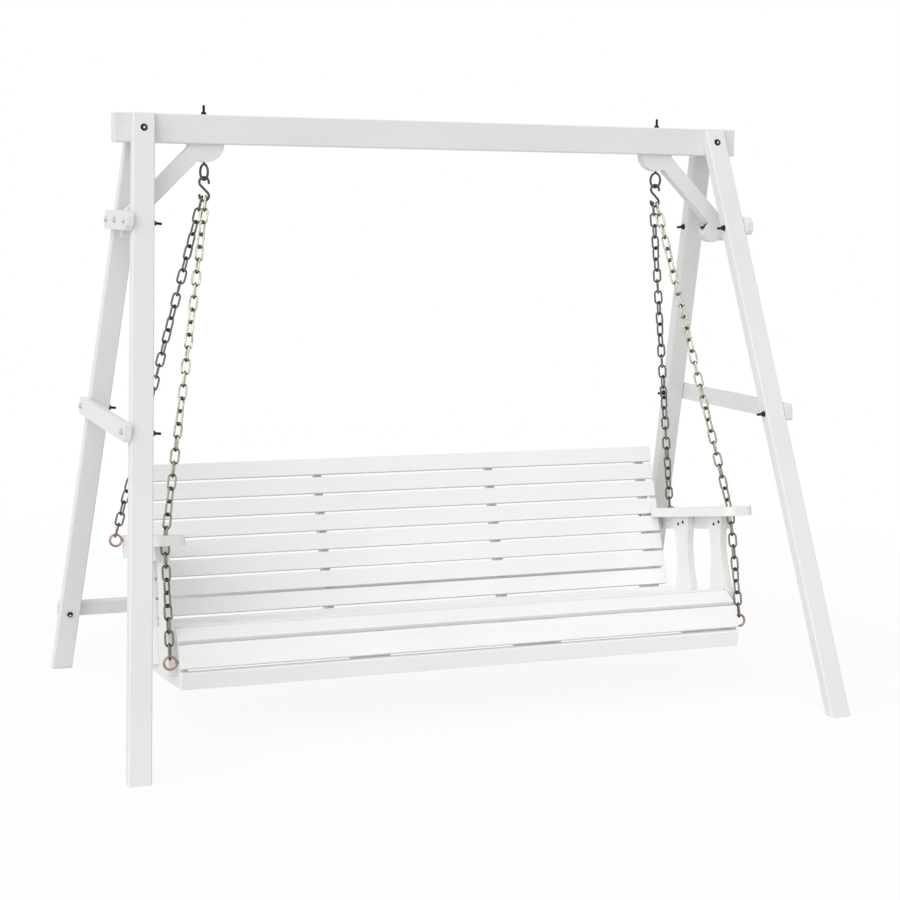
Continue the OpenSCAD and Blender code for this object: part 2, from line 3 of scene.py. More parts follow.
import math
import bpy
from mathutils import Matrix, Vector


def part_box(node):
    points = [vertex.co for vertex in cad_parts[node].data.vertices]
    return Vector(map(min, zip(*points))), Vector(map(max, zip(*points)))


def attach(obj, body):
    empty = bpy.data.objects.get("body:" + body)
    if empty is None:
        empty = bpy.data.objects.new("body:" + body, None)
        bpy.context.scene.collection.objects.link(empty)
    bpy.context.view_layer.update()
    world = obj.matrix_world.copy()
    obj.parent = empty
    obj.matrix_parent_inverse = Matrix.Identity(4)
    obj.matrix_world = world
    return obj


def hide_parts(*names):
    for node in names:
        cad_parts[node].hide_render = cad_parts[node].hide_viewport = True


bl_info = {
    "name": "Garden Swing Finish",
    "version": (1, 0, 0),
    "blender": (4, 5, 0),
    "location": "View3D > Sidebar > Swing",
    "description": "Paints the boards of a garden swing and makes its chains, hooks, eyes and bolts",
    "category": "Add Mesh",
}

import bmesh
import bpy
import numpy as np
from bpy.props import FloatProperty, FloatVectorProperty, IntProperty, PointerProperty
from mathutils import Matrix, Vector

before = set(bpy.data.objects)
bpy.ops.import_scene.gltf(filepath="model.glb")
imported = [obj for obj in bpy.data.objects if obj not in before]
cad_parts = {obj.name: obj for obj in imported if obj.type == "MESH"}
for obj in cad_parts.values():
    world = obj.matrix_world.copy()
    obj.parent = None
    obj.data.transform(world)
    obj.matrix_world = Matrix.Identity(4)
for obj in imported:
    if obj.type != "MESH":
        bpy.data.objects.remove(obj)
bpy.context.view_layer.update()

STAND = "stand"
BENCH = "bench"

SIDES = ("left", "right")
CHAINS = ("front_left", "front_right", "rear_left", "rear_right")
SEAT_SLATS = [f"seat_slat_{i}" for i in range(1, 7)] + ["shoulder_slat", "nose_slat", "front_apron"]
BACK_SLATS = [f"back_slat_{i}" for i in range(1, 9)]
STAND_BOARDS = ["top_beam", "rear_stretcher"] + [
    f"{board}_{side}"
    for board in ("front_leg", "rear_leg", "upper_plate", "lower_crossbar", "brace")
    for side in SIDES
]
BENCH_BOARDS = [
    f"{board}_{side}"
    for board in (
        "end_rib", "inner_rib", "end_batten", "inner_batten", "front_post", "rear_post",
        "arm_block", "arm_cleat", "armrest",
    )
    for side in SIDES
]

X_AXIS = Vector((1, 0, 0))
Y_AXIS = Vector((0, 1, 0))
Z_AXIS = Vector((0, 0, 1))
MM = 0.001


# ---- sizes and colours that a user would change ----

COLOUR = {"min": 0, "max": 1, "size": 3, "subtype": "COLOR"}


class BoardSettings(bpy.types.PropertyGroup):
    """Edges and paint of the boards."""

    slat_edge: FloatProperty(
        name="Slat edge radius", description="Rounding along the edges of the slats",
        default=2.5 * MM, min=0.5 * MM, max=5 * MM, unit="LENGTH")
    board_edge: FloatProperty(
        name="Board edge softness", description="Softening of the planed edges of the other boards",
        default=0.8 * MM, min=0.1 * MM, max=2 * MM, unit="LENGTH")
    edge_steps: IntProperty(
        name="Edge steps", description="Faces across each rounded edge", default=3, min=1, max=6)
    stand_colour: FloatVectorProperty(
        name="Stand paint", description="Colour of the paint on the stand",
        default=(0.80, 0.805, 0.80), **COLOUR)
    bench_colour: FloatVectorProperty(
        name="Bench paint", description="Colour of the paint on the bench's ribs, posts and arms",
        default=(0.85, 0.855, 0.85), **COLOUR)
    # painted light: the slats get a lighter copy of the bench paint
    lit_slat_colour: FloatVectorProperty(
        name="Slat paint", description="Colour of the paint on the slats",
        default=(0.93, 0.935, 0.93), **COLOUR)
    # painted shade: colour towards which narrow gaps and inside corners are darkened
    gap_shade_colour: FloatVectorProperty(
        name="Dirt", description="Colour of the dirt that gathers in narrow gaps",
        default=(0.16, 0.155, 0.15), **COLOUR)
    # how wide a gap or corner still gets painted shade
    gap_shade_reach: FloatProperty(
        name="Dirt reach", description="How wide a gap still gathers dirt",
        default=16 * MM, min=2 * MM, max=60 * MM, unit="LENGTH")
    wood_colour: FloatVectorProperty(
        name="Bare wood", description="Colour of the wood where the paint is thin",
        default=(0.60, 0.53, 0.42), **COLOUR)
    grain_relief: FloatProperty(
        name="Grain relief", description="Height of the grain that shows through the paint",
        default=0.35 * MM, min=0, max=1 * MM, unit="LENGTH")


class ChainSettings(bpy.types.PropertyGroup):
    """Links of the four chains."""

    wire: FloatProperty(
        name="Link wire", description="Diameter of the wire of a link",
        default=6 * MM, min=3 * MM, max=8 * MM, unit="LENGTH")
    weld_swell: FloatProperty(
        name="Weld swell", description="How much thicker a link is at its weld, as a share",
        default=0.14, min=0, max=0.3, subtype="FACTOR")
    bend_points: IntProperty(
        name="Points along a link", description="Rings of the wire all round one link",
        default=36, min=16, max=64)
    wire_sides: IntProperty(
        name="Sides of the wire", description="Sides of the wire's section", default=12, min=6, max=24)
    # painted light: the front chains' plating is a lit copy of the same plating as the rear chains
    lit_front_colour: FloatVectorProperty(
        name="Front chains", description="Colour of the plating on the front chains",
        default=(0.68, 0.665, 0.53), **COLOUR)
    # painted shade: the rear chains' plating is a shaded copy of the front chains' plating
    shaded_rear_colour: FloatVectorProperty(
        name="Rear chains", description="Colour of the plating on the rear chains",
        default=(0.255, 0.25, 0.225), **COLOUR)
    # painted shade: the front chains darken towards the seat
    shaded_low_colour: FloatVectorProperty(
        name="Front chains near the seat", description="Colour of the plating on their lower ends",
        default=(0.165, 0.155, 0.13), **COLOUR)
    # tarnish for the random stains, and painted shade at the link ends where two links meet
    tarnish_and_joint_shade_colour: FloatVectorProperty(
        name="Tarnish", description="Colour of the plating where two links rub",
        default=(0.05, 0.045, 0.03), **COLOUR)


class HardwareSettings(bpy.types.PropertyGroup):
    """Hooks, eyes, bolts and screws."""

    hook_wire: FloatProperty(
        name="Hook wire", description="Diameter of the wire of the hooks and eyes",
        default=7 * MM, min=4 * MM, max=10 * MM, unit="LENGTH")
    eye_radius: FloatProperty(
        name="Beam eye radius", description="Radius of the middle line of a beam eye",
        default=21.5 * MM, min=8 * MM, max=30 * MM, unit="LENGTH")
    eye_turn: FloatProperty(
        name="Beam eye turn", description="How far the beam eyes are turned out of the plane across the beam",
        default=math.radians(16), min=0, max=math.radians(30), subtype="ANGLE")
    seat_eye_radius: FloatProperty(
        name="Seat eye radius", description="Radius of the middle line of a seat eye",
        default=17 * MM, min=10 * MM, max=25 * MM, unit="LENGTH")
    bolt_radius: FloatProperty(
        name="Bolt radius", description="Radius over the threads of a bolt",
        default=4 * MM, min=2.5 * MM, max=5 * MM, unit="LENGTH")
    thread_pitch: FloatProperty(
        name="Thread pitch", description="Distance from one thread to the next",
        default=1.25 * MM, min=0.7 * MM, max=2 * MM, unit="LENGTH")
    # zinc of the side bolts' heads and washers, also used for the painted highlight in the middle of every
    # bolt head
    zinc_and_highlight_colour: FloatVectorProperty(
        name="Zinc", description="Colour of the side bolts' heads and washers and of every head's middle",
        default=(0.62, 0.62, 0.62), **COLOUR)
    black_colour: FloatVectorProperty(
        name="Black finish", description="Colour of the other heads and washers, the shanks, nuts and screws",
        default=(0.022, 0.022, 0.024), **COLOUR)
    copper_colour: FloatVectorProperty(
        name="Seat eyes", description="Colour of the seat eyes",
        default=(0.40, 0.27, 0.22), **COLOUR)
    iron_colour: FloatVectorProperty(
        name="Hooks", description="Colour of the hooks and the beam eyes",
        default=(0.10, 0.095, 0.085), **COLOUR)


class StageSettings(bpy.types.PropertyGroup):
    """Camera and lights."""

    camera_place: FloatVectorProperty(
        name="Camera place", description="Where the camera stands",
        default=(-1.88683, -5.12376, 1.45579), size=3, subtype="TRANSLATION", unit="LENGTH")
    camera_turn: FloatProperty(
        name="Camera turn", description="Turn of the line of sight from straight back towards the right",
        default=math.radians(20.63), subtype="ANGLE")
    camera_dip: FloatProperty(
        name="Camera dip", description="How far the camera looks down",
        default=math.radians(7.51), subtype="ANGLE")
    camera_roll: FloatProperty(
        name="Camera roll", description="Roll of the camera about its line of sight",
        default=math.radians(-0.7), subtype="ANGLE")
    lens: FloatProperty(
        name="Lens", description="Focal length in millimetres on a sensor 36 mm wide",
        default=73.86, min=20, max=200)
    sky: FloatProperty(
        name="Sky level", description="Strength of the even light from all round", default=0.50, min=0, max=2)
    sun: FloatProperty(
        name="Sun level", description="Strength of the soft light from the front left",
        default=1.9, min=0, max=5)


def settings(context):
    """The four groups of settings of a scene."""
    scene = context.scene
    return scene.swing_boards, scene.swing_chains, scene.swing_hardware, scene.swing_stage


# ---- node trees ----


class Field:
    """A number that a node tree works out; arithmetic on it adds Math nodes."""

    def __init__(self, graph, socket):
        self.graph = graph
        self.socket = socket

    def __add__(self, other):
        return self.graph.maths("ADD", self, other)

    __radd__ = __add__

    def __sub__(self, other):
        return self.graph.maths("SUBTRACT", self, other)

    def __rsub__(self, other):
        return self.graph.maths("SUBTRACT", other, self)

    def __mul__(self, other):
        return self.graph.maths("MULTIPLY", self, other)

    __rmul__ = __mul__

    def __truediv__(self, other):
        return self.graph.maths("DIVIDE", self, other)

    def __rtruediv__(self, other):
        return self.graph.maths("DIVIDE", other, self)

    def __pow__(self, other):
        return self.graph.maths("POWER", self, other)

    def __abs__(self):
        return self.graph.maths("ABSOLUTE", self)

    def sine(self):
        return self.graph.maths("SINE", self)

    def between(self, low, high):
        """0 below low, 1 above high and smooth in between."""
        return self.graph.out("ShaderNodeMapRange", 0, {"interpolation_type": "SMOOTHSTEP"},
                              {"Value": self, "From Min": low, "From Max": high})


class Graph:
    """Adds nodes to a shader or geometry tree and links them as they are made."""

    def __init__(self, tree):
        self.tree = tree

    def node(self, kind, choices=None, values=None):
        """A new node with its choices made and its inputs fed."""
        made = self.tree.nodes.new(kind)
        for name, choice in (choices or {}).items():
            setattr(made, name, choice)
        for key, value in (values or {}).items():
            self.feed(made.inputs[key], value)
        return made

    def feed(self, socket, value):
        """Links another node's result to an input, or sets the input's own value."""
        if isinstance(value, Field):
            value = value.socket
        if isinstance(value, bpy.types.NodeSocket):
            self.tree.links.new(value, socket)
        else:
            socket.default_value = value

    def out(self, kind, output, choices=None, values=None):
        """One output of a new node, to do maths with."""
        return Field(self, self.node(kind, choices, values).outputs[output])

    def maths(self, operation, *values):
        """Result of a Math node."""
        return self.out("ShaderNodeMath", 0, {"operation": operation}, dict(enumerate(values)))

    def noise(self, place, scale, detail, roughness=0.5):
        """A cloudy pattern between 0 and 1."""
        return self.out("ShaderNodeTexNoise", 0, None,
                        {"Vector": place, "Scale": scale, "Detail": detail, "Roughness": roughness})

    def stretch(self, place, scale, turn=(0, 0, 0), shift=(0, 0, 0)):
        """A place that is turned, scaled and shifted."""
        return self.out("ShaderNodeMapping", 0, None,
                        {"Vector": place, "Location": shift, "Rotation": turn, "Scale": scale})

    def blend(self, share, first, second):
        """Colour that goes from first to second as share goes from 0 to 1."""
        return self.out("ShaderNodeMix", 2, {"data_type": "RGBA"}, {0: share, 6: first, 7: second})


def rgba(shade, share=1.0):
    """A colour with its alpha, brightened or darkened by a share."""
    return (*(channel * share for channel in shade), 1)


def new_material(name):
    """An empty material and the graph that fills it."""
    material = bpy.data.materials.new(name)
    material.use_nodes = True
    material.node_tree.nodes.clear()
    return material, Graph(material.node_tree)


def surface(graph, values):
    """The one shader of a finish, with its output."""
    shader = graph.node("ShaderNodeBsdfPrincipled", None, values)
    graph.node("ShaderNodeOutputMaterial", None, {"Surface": shader.outputs[0]})


def bump(graph, height, depth):
    """Normal that a relief gives whose height goes from 0 to 1 over a depth."""
    relief = graph.node("ShaderNodeBump", None, {"Height": height, "Distance": depth, "Strength": 1.0})
    return relief.outputs[0]


# ---- finishes ----

# middle of the growth rings, across the grain, and the distance from one ring to the next
PITH = (-43 * MM, 71 * MM)
RING_SPACING = 6.5 * MM
# how far from an edge its paint can be worn
WEAR_REACH = 2.2 * MM
# heights above the ground between which the front chains go from their painted shade near the seat to their
# lit colour
LOW_END = 0.42
BRIGHT_END = 1.10


def painted_wood(name, along, paint, boards):
    """Brushed white paint on planed softwood whose grain runs along a direction, with painted shade in narrow
    gaps and inside corners.
    """
    material, graph = new_material(name)
    turn = along.rotation_difference(X_AXIS).to_euler()
    place = graph.out("ShaderNodeTexCoord", "Object")
    square = graph.stretch(place, (1, 1, 1), turn)
    wander = graph.noise(graph.stretch(square, (1.6, 9, 9)), 1.0, 2.0)
    shade = graph.noise(square, 2.3, 2.0)
    fibre = graph.noise(graph.stretch(square, (5, 260, 260)), 1.0, 4.0, 0.6)
    brush = graph.noise(graph.stretch(square, (9, 620, 620), shift=(3.1, 0, 0)), 1.0, 2.0)
    split = graph.node("ShaderNodeSeparateXYZ", None, {0: square})
    across, up = Field(graph, split.outputs[1]), Field(graph, split.outputs[2])
    # growth rings about one line near the origin, so each board cuts them at its own place
    from_pith = ((across - PITH[0]) ** 2 + (up - PITH[1]) ** 2) ** 0.5
    rings = (from_pith * (2 * math.pi / RING_SPACING) + wander * 26).sine() * 0.5 + 0.5
    knots = graph.out("ShaderNodeTexVoronoi", 0, {"feature": "F1"},
                      {"Vector": graph.stretch(square, (2.2, 9, 9)), "Scale": 1.0, "Randomness": 1.0})
    knot = 1 - knots.between(0.05, 0.16)
    # bare edges: where the rounded normal leaves the true one
    geometry = graph.node("ShaderNodeNewGeometry")
    rounded = graph.node("ShaderNodeBevel", {"samples": 4}, {"Radius": WEAR_REACH})
    agree = graph.out("ShaderNodeVectorMath", 1, {"operation": "DOT_PRODUCT"},
                      {0: geometry.outputs["Normal"], 1: rounded.outputs[0]})
    patch = graph.noise(place, 34.0, 3.0, 0.65)
    worn = (1 - agree).between(0.02, 0.16) * patch.between(0.56, 0.72)
    base = graph.blend(shade.between(0.35, 0.65), rgba(paint, 0.97), rgba(paint))
    base = graph.blend(rings * fibre * 0.10, base, rgba(boards.wood_colour, 1.25))
    base = graph.blend(knot * 0.10, base, rgba(boards.wood_colour))
    base = graph.blend(worn * 0.32, base, rgba(boards.wood_colour))
    # 1 on an open face and 0 deep in a narrow gap; narrow gaps and inside corners are darkened by it, which
    # is painted shade
    openness = graph.out("ShaderNodeAmbientOcclusion", 1, {"samples": 8}, {"Distance": boards.gap_shade_reach})
    base = graph.blend((1 - openness).between(0.24, 0.62) * 0.10, base, rgba(boards.gap_shade_colour))
    height = rings * 0.30 + fibre * 0.45 + brush * 0.30 - knot * 0.25
    surface(graph, {
        "Base Color": base,
        "Roughness": 0.40 + fibre * 0.10 + brush * 0.08 + worn * 0.25,
        "Normal": bump(graph, height, boards.grain_relief),
        "IOR": 1.47,
    })
    return material


def plated_wire(name, plating, shaded_low_plating, tarnish_and_joint_shade):
    """Worn antique plating that fades into a second colour towards the seat as painted shade, and is painted
    dark as shade at the link ends where two links meet.
    """
    material, graph = new_material(name)
    place = graph.out("ShaderNodeTexCoord", "Object")
    height = graph.out("ShaderNodeSeparateXYZ", 2, None, {0: place})
    # painted shade: darker below this band of heights
    low = 1 - height.between(LOW_END, BRIGHT_END)
    cloud = graph.noise(place, 95.0, 4.0, 0.6)
    pits = graph.noise(place, 900.0, 3.0, 0.6)
    # painted shade at both ends of a link, where it meets the next link
    end = graph.out("ShaderNodeAttribute", "Fac", {"attribute_name": "end_share"})
    rubbed = end.between(0.58, 0.90)
    stain = cloud.between(0.52, 0.72)
    base = graph.blend(cloud.between(0.3, 0.7), rgba(plating), rgba(plating, 0.72))
    base = graph.blend(low * 0.85, base, rgba(shaded_low_plating))
    base = graph.blend(stain * 0.45, base, rgba(tarnish_and_joint_shade, 2.0))
    base = graph.blend(rubbed * 0.92, base, rgba(tarnish_and_joint_shade))
    surface(graph, {
        "Base Color": base,
        "Metallic": 1 - stain * 0.35,
        "Roughness": 0.30 + cloud * 0.16 + pits * 0.08 + rubbed * 0.15,
        "Normal": bump(graph, pits * 0.6 + cloud * 0.8, 0.12 * MM),
    })
    return material


def rubbed_metal(name, shade, metallic, rough):
    """Blackened, coppered or zinc-plated metal of a hook, an eye or a bolt, with rubbed spots."""
    material, graph = new_material(name)
    place = graph.out("ShaderNodeTexCoord", "Object")
    cloud = graph.noise(place, 130.0, 3.0, 0.55)
    pits = graph.noise(place, 1400.0, 3.0, 0.6)
    rubbed = cloud.between(0.58, 0.74)
    surface(graph, {
        "Base Color": graph.blend(rubbed * 0.6, rgba(shade), rgba(shade, 2.1)),
        "Metallic": metallic,
        "Roughness": rough + cloud * 0.14 - rubbed * 0.08,
        "Normal": bump(graph, pits * 0.7 + cloud * 0.5, 0.08 * MM),
        "Coat Weight": rubbed * 0.15,
        "Coat Roughness": 0.3,
    })
    return material


# ---- reading the frame ----


def corner_triples(node):
    """Corners of every triangle of a CAD node."""
    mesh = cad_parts[node].data
    mesh.calc_loop_triangles()
    points = np.empty(len(mesh.vertices) * 3)
    mesh.vertices.foreach_get("co", points)
    corners = np.empty(len(mesh.loop_triangles) * 3, dtype=np.int64)
    mesh.loop_triangles.foreach_get("vertices", corners)
    return points.reshape(-1, 3)[corners.reshape(-1, 3)]


def solids_of(node):
    """The separate solids of a CAD node."""
    corners = corner_triples(node)
    spots, spot_of = np.unique(np.round(corners.reshape(-1, 3), 6), axis=0, return_inverse=True)
    faces = spot_of.reshape(-1, 3)
    group = np.arange(len(spots))
    while True:
        least = group[faces].min(axis=1)
        spread = group.copy()
        for column in range(3):
            np.minimum.at(spread, faces[:, column], least)
        spread = spread[spread]
        if (spread == group).all():
            break
        group = spread
    owner = group[faces[:, 0]]
    return [Solid(corners[owner == label]) for label in np.unique(owner)]


class Solid:
    """Middle, own axes and size of one solid; its axes go from its longest to its shortest."""

    def __init__(self, corners):
        area = np.linalg.norm(np.cross(corners[:, 1] - corners[:, 0], corners[:, 2] - corners[:, 0]), axis=1)
        centre = (corners.mean(axis=1) * area[:, None]).sum(axis=0) / area.sum()
        # the surface's second moments, which don't depend on how its faces are cut into triangles
        spread = corners - centre
        sums = spread.sum(axis=1)
        moments = np.einsum("n,nki,nkj->ij", area, spread, spread)
        moments += np.einsum("n,ni,nj->ij", area, sums, sums)
        directions = np.linalg.eigh(moments)[1]
        self.points = corners.reshape(-1, 3)
        self.centre = Vector(centre)
        self.axes = [Vector(directions[:, i]) for i in (2, 1, 0)]
        spans = [self.span(axis) for axis in self.axes]
        self.size = [high - low for low, high in spans]
        self.middle = sum((axis * (low + high) / 2 for axis, (low, high) in zip(self.axes, spans)), Vector())

    def span(self, axis):
        """Lowest and highest place of the solid along an axis."""
        along = self.points @ np.array(axis)
        return float(along.min()), float(along.max())

    def swell(self, axis, low, high):
        """Largest distance from an axis through the centre, between two places along it."""
        axis = np.array(axis)
        along = self.points @ axis
        near = self.points[(along >= low) & (along <= high)] - np.array(self.centre)
        return float(np.linalg.norm(near - np.outer(near @ axis, axis), axis=1).max())


def turned_to(z, x):
    """Rotation whose third axis is z and whose first axis lies towards x."""
    z = z.normalized()
    y = z.cross(x).normalized()
    return Matrix((y.cross(z), y, z)).transposed()


# ---- making meshes ----

# points nearer than this are one point, and faces that bend by less than this are one flat face
DOUBLES = 0.002 * MM
FLAT_ANGLE = math.radians(0.3)


def new_piece(name, mesh):
    """An object in the scene with a mesh."""
    piece = bpy.data.objects.new(name, mesh)
    bpy.context.scene.collection.objects.link(piece)
    return piece


def mesh_from(name, points, faces, smooth=True):
    """A mesh from its points and faces."""
    mesh = bpy.data.meshes.new(name)
    mesh.from_pydata([tuple(point) for point in points], [], faces)
    mesh.polygons.foreach_set("use_smooth", [smooth] * len(faces))
    mesh.update()
    return mesh


def point_cloud(name, spots, **attributes):
    """Loose points with vector attributes, for a tree to work on."""
    mesh = mesh_from(name, spots, [])
    for key, values in attributes.items():
        layer = mesh.attributes.new(key, "FLOAT_VECTOR", "POINT")
        layer.data.foreach_set("vector", np.array(values, dtype=np.float32).ravel())
    return new_piece(name, mesh)


def settle(piece):
    """Turns a piece's modifiers into a plain mesh."""
    evaluated = piece.evaluated_get(bpy.context.evaluated_depsgraph_get())
    mesh = bpy.data.meshes.new_from_object(evaluated)
    piece.modifiers.clear()
    piece.data = mesh
    mesh.name = piece.name


def finish_piece(piece, body, nodes, material):
    """Gives a piece its material and its body, and hides the CAD nodes that it stands for."""
    piece.data.materials.clear()
    piece.data.materials.append(material)
    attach(piece, body)
    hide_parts(*nodes)


def add_bevel(piece, width, steps, limit=None):
    """Rounds the edges that bend by more than a limit, or without one the marked edges."""
    bevel = piece.modifiers.new("edges", "BEVEL")
    bevel.width = width
    bevel.segments = steps
    bevel.limit_method = "ANGLE" if limit else "WEIGHT"
    if limit:
        bevel.angle_limit = limit
    bevel.harden_normals = True


def mark_outer_edges(shell, limit, widest_hole):
    """Marks a board's edges that bend by more than a limit, and leaves the rims of its small holes sharp."""
    weight = shell.edges.layers.float.new("bevel_weight_edge")
    sharp = {edge for edge in shell.edges if edge.calc_face_angle(0) > limit}
    while sharp:
        front = [sharp.pop()]
        chain = []
        while front:
            chain.append(front.pop())
            near = {edge for vertex in chain[-1].verts for edge in vertex.link_edges if edge in sharp}
            sharp -= near
            front += near
        spots = np.array([vertex.co for edge in chain for vertex in edge.verts])
        is_rim = np.ptp(spots, axis=0).max() <= widest_hole
        for edge in chain:
            edge.smooth = not is_rim
            edge[weight] = 0 if is_rim else 1


def circle(radius, sides):
    """Pairs of numbers evenly spaced on a circle."""
    turns = [2 * math.pi * k / sides for k in range(sides)]
    return [(radius * math.cos(turn), radius * math.sin(turn)) for turn in turns]


def bands(rows, sides, closed=False):
    """Faces between rows of points; in a closed form the last row joins the first."""
    return [(row * sides + k, row * sides + (k + 1) % sides,
             (row + 1) % rows * sides + (k + 1) % sides, (row + 1) % rows * sides + k)
            for row in range(rows if closed else rows - 1) for k in range(sides)]


def ends(rows, sides):
    """Faces that close the first and the last row of points."""
    return [tuple(reversed(range(sides))), tuple(range((rows - 1) * sides, rows * sides))]


def tube(path, radii, sides, closed=False):
    """Points and faces of round wire along a path, with its own radius at each point."""
    count = len(path)
    points = []
    side = None
    for i, (spot, radius) in enumerate(zip(path, radii)):
        before = path[i - 1] if closed or i else spot
        after = path[(i + 1) % count] if closed or i < count - 1 else spot
        along = (after - before).normalized()
        side = along.orthogonal() if side is None else side - along * side.dot(along)
        side.normalize()
        up = along.cross(side)
        points += [spot + side * a + up * b for a, b in circle(radius, sides)]
    return points, bands(count, sides, closed) + ([] if closed else ends(count, sides))


def joined(parts):
    """One list of points and one of faces from several."""
    points, faces = [], []
    for part_points, part_faces in parts:
        start = len(points)
        points += part_points
        faces += [tuple(corner + start for corner in face) for face in part_faces]
    return points, faces


def lathe(profile, sides):
    """Points and faces of a closed profile of (radius, height) pairs turned about Z."""
    points = [Vector((x, y, z)) for radius, z in profile for x, y in circle(radius, sides)]
    return points, bands(len(profile), sides, closed=True)


# ---- templates of the small hardware, each with its seat at height 0 and facing up ----

WASHER = {"radius": 9 * MM, "height": 1.6 * MM, "hole": 4.2 * MM, "ease": 0.3 * MM}
HEX = {"radius": 7.5 * MM, "height": 5.5 * MM, "chamfer": 0.7 * MM}
SCREW = {"radius": 5 * MM, "head": 2.4 * MM, "shank": 2.2 * MM}
HEX_SIDES = 48
THREAD_LENGTH = 20 * MM
THREAD_DEPTH = 0.62 * MM
ROWS_PER_TURN = 6
THREAD_SIDES = 20
SCREW_ROWS = 9
SCREW_SIDES = 32


def washer(radius=WASHER["radius"]):
    """Flat ring with its edges eased."""
    height, hole, ease = WASHER["height"], WASHER["hole"], WASHER["ease"]
    return lathe([(hole, 0), (radius - ease, 0), (radius, ease), (radius, height - ease),
                  (radius - ease, height), (hole + ease, height), (hole, height - ease)], HEX_SIDES)


def hexagon(height, dished):
    """Hexagonal block that stands on a washer; a head has a shallow dish and a nut a bore."""
    flat = HEX["radius"] * math.cos(math.pi / 6)
    eased = HEX["radius"] - HEX["chamfer"]
    # each row is the most that the block may reach from its axis, and a share of its height
    rows = [(eased, 0.0), (HEX["radius"], 0.12), (HEX["radius"], 0.88), (eased, 1.0)]
    inner = [(0.50, 1.0), (0.47, 0.92), (0.0, 0.92)] if dished else [(0.60, 1.0), (0.52, 0.94), (0.52, 0.0)]
    rows += [(share * HEX["radius"], place) for share, place in inner]
    points = []
    for limit, share in rows:
        z = WASHER["height"] + height * share
        for k in range(HEX_SIDES):
            turn = 2 * math.pi * k / HEX_SIDES
            reach = min(limit, flat / math.cos((turn % (math.pi / 3)) - math.pi / 6))
            points.append(Vector((reach * math.cos(turn), reach * math.sin(turn), z)))
    faces = bands(len(rows), HEX_SIDES, closed=not dished)
    return points, faces + (ends(len(rows), HEX_SIDES) if dished else [])


def nut(height=HEX["height"], washer_radius=WASHER["radius"]):
    """Nut on its washer."""
    return joined([washer(washer_radius), hexagon(height, dished=False)])


def thread(radius, pitch):
    """Threaded end of a bolt, its tip at height 0 and the rest below."""
    rows = int(THREAD_LENGTH / pitch * ROWS_PER_TURN) + 1
    points = []
    for row in range(rows):
        z = -THREAD_LENGTH * (1 - row / (rows - 1))
        lead_in = min(1.0, -z / pitch)
        for k in range(THREAD_SIDES):
            ridge = 1 - abs(2 * ((z / pitch - k / THREAD_SIDES) % 1.0) - 1)
            reach = radius - THREAD_DEPTH * (1 - ridge * lead_in)
            turn = 2 * math.pi * k / THREAD_SIDES
            points.append(Vector((reach * math.cos(turn), reach * math.sin(turn), z)))
    return points, bands(rows, THREAD_SIDES) + ends(rows, THREAD_SIDES)


def screw(length):
    """Screw of a length, with a domed head, a cross recess pressed into it and a pointed shank."""
    radius, height, shank = SCREW["radius"], SCREW["head"], SCREW["shank"]
    points = [Vector((x, y, 0)) for x, y in circle(radius, SCREW_SIDES)]
    for row in range(SCREW_ROWS + 1):
        share = 1 - row / SCREW_ROWS
        dome = height * (0.35 + 0.65 * math.sqrt(max(0.0, 1 - share * share)))
        for x, y in circle(radius * share, SCREW_SIDES):
            in_recess = min(abs(x), abs(y)) < 0.12 * radius and max(abs(x), abs(y)) < 0.62 * radius
            points.append(Vector((x, y, dome - (0.55 * height if in_recess else 0))))
    base = tuple(reversed(range(SCREW_SIDES)))
    head = points, [*bands(SCREW_ROWS + 2, SCREW_SIDES), base]
    tip = height - length
    path = [Z_AXIS * height / 4, Z_AXIS * tip * 0.85, Z_AXIS * tip]
    return joined([head, tube(path, [shank, shank, shank * 0.15], SCREW_SIDES // 2)])


def template(name, shape):
    """Object for a tree to copy; its doubles are merged and its faces point outwards."""
    mesh = mesh_from(name, *shape)
    shell = bmesh.new()
    shell.from_mesh(mesh)
    bmesh.ops.remove_doubles(shell, verts=shell.verts, dist=DOUBLES)
    bmesh.ops.dissolve_degenerate(shell, edges=shell.edges, dist=0.001 * MM)
    bmesh.ops.recalc_face_normals(shell, faces=shell.faces)
    shell.to_mesh(mesh)
    shell.free()
    return new_piece(name, mesh)


# ---- geometry trees ----

# how far the swelling of a weld reaches along a link
WELD_REACH = 3.5 * MM
# edges that bend by more than this stay hard on turned and threaded pieces
HARD_ANGLE = math.radians(28)


def geometry_tree(name, numbers):
    """A new geometry tree with a mesh input, named number inputs and a mesh output."""
    tree = bpy.data.node_groups.new(name, "GeometryNodeTree")
    tree.interface.new_socket("Geometry", in_out="INPUT", socket_type="NodeSocketGeometry")
    tree.interface.new_socket("Geometry", in_out="OUTPUT", socket_type="NodeSocketGeometry")
    for number, default in numbers.items():
        kind = "NodeSocketInt" if isinstance(default, int) else "NodeSocketFloat"
        tree.interface.new_socket(number, in_out="INPUT", socket_type=kind).default_value = default
    graph = Graph(tree)
    given = graph.node("NodeGroupInput")
    return tree, graph, {key: given.outputs[key] for key in ("Geometry", *numbers)}


def end_tree(graph, instances, material):
    """Ends a tree: real meshes, one material, out."""
    real = graph.node("GeometryNodeRealizeInstances", None, {0: instances})
    made = graph.node("GeometryNodeSetMaterial", None, {"Geometry": real.outputs[0], "Material": material})
    graph.node("NodeGroupOutput", None, {0: made.outputs[0]})


def instances_on(graph, points, instance, scale=None):
    """Copies of one geometry on points, turned by their "turn" attribute."""
    turn = graph.node("GeometryNodeInputNamedAttribute", {"data_type": "FLOAT_VECTOR"}, {"Name": "turn"})
    rotation = graph.node("FunctionNodeEulerToRotation", None, {0: turn.outputs[0]})
    values = {"Points": points, "Instance": instance, "Rotation": rotation.outputs[0]}
    if scale:
        values["Scale"] = scale
    return graph.node("GeometryNodeInstanceOnPoints", None, values).outputs[0]


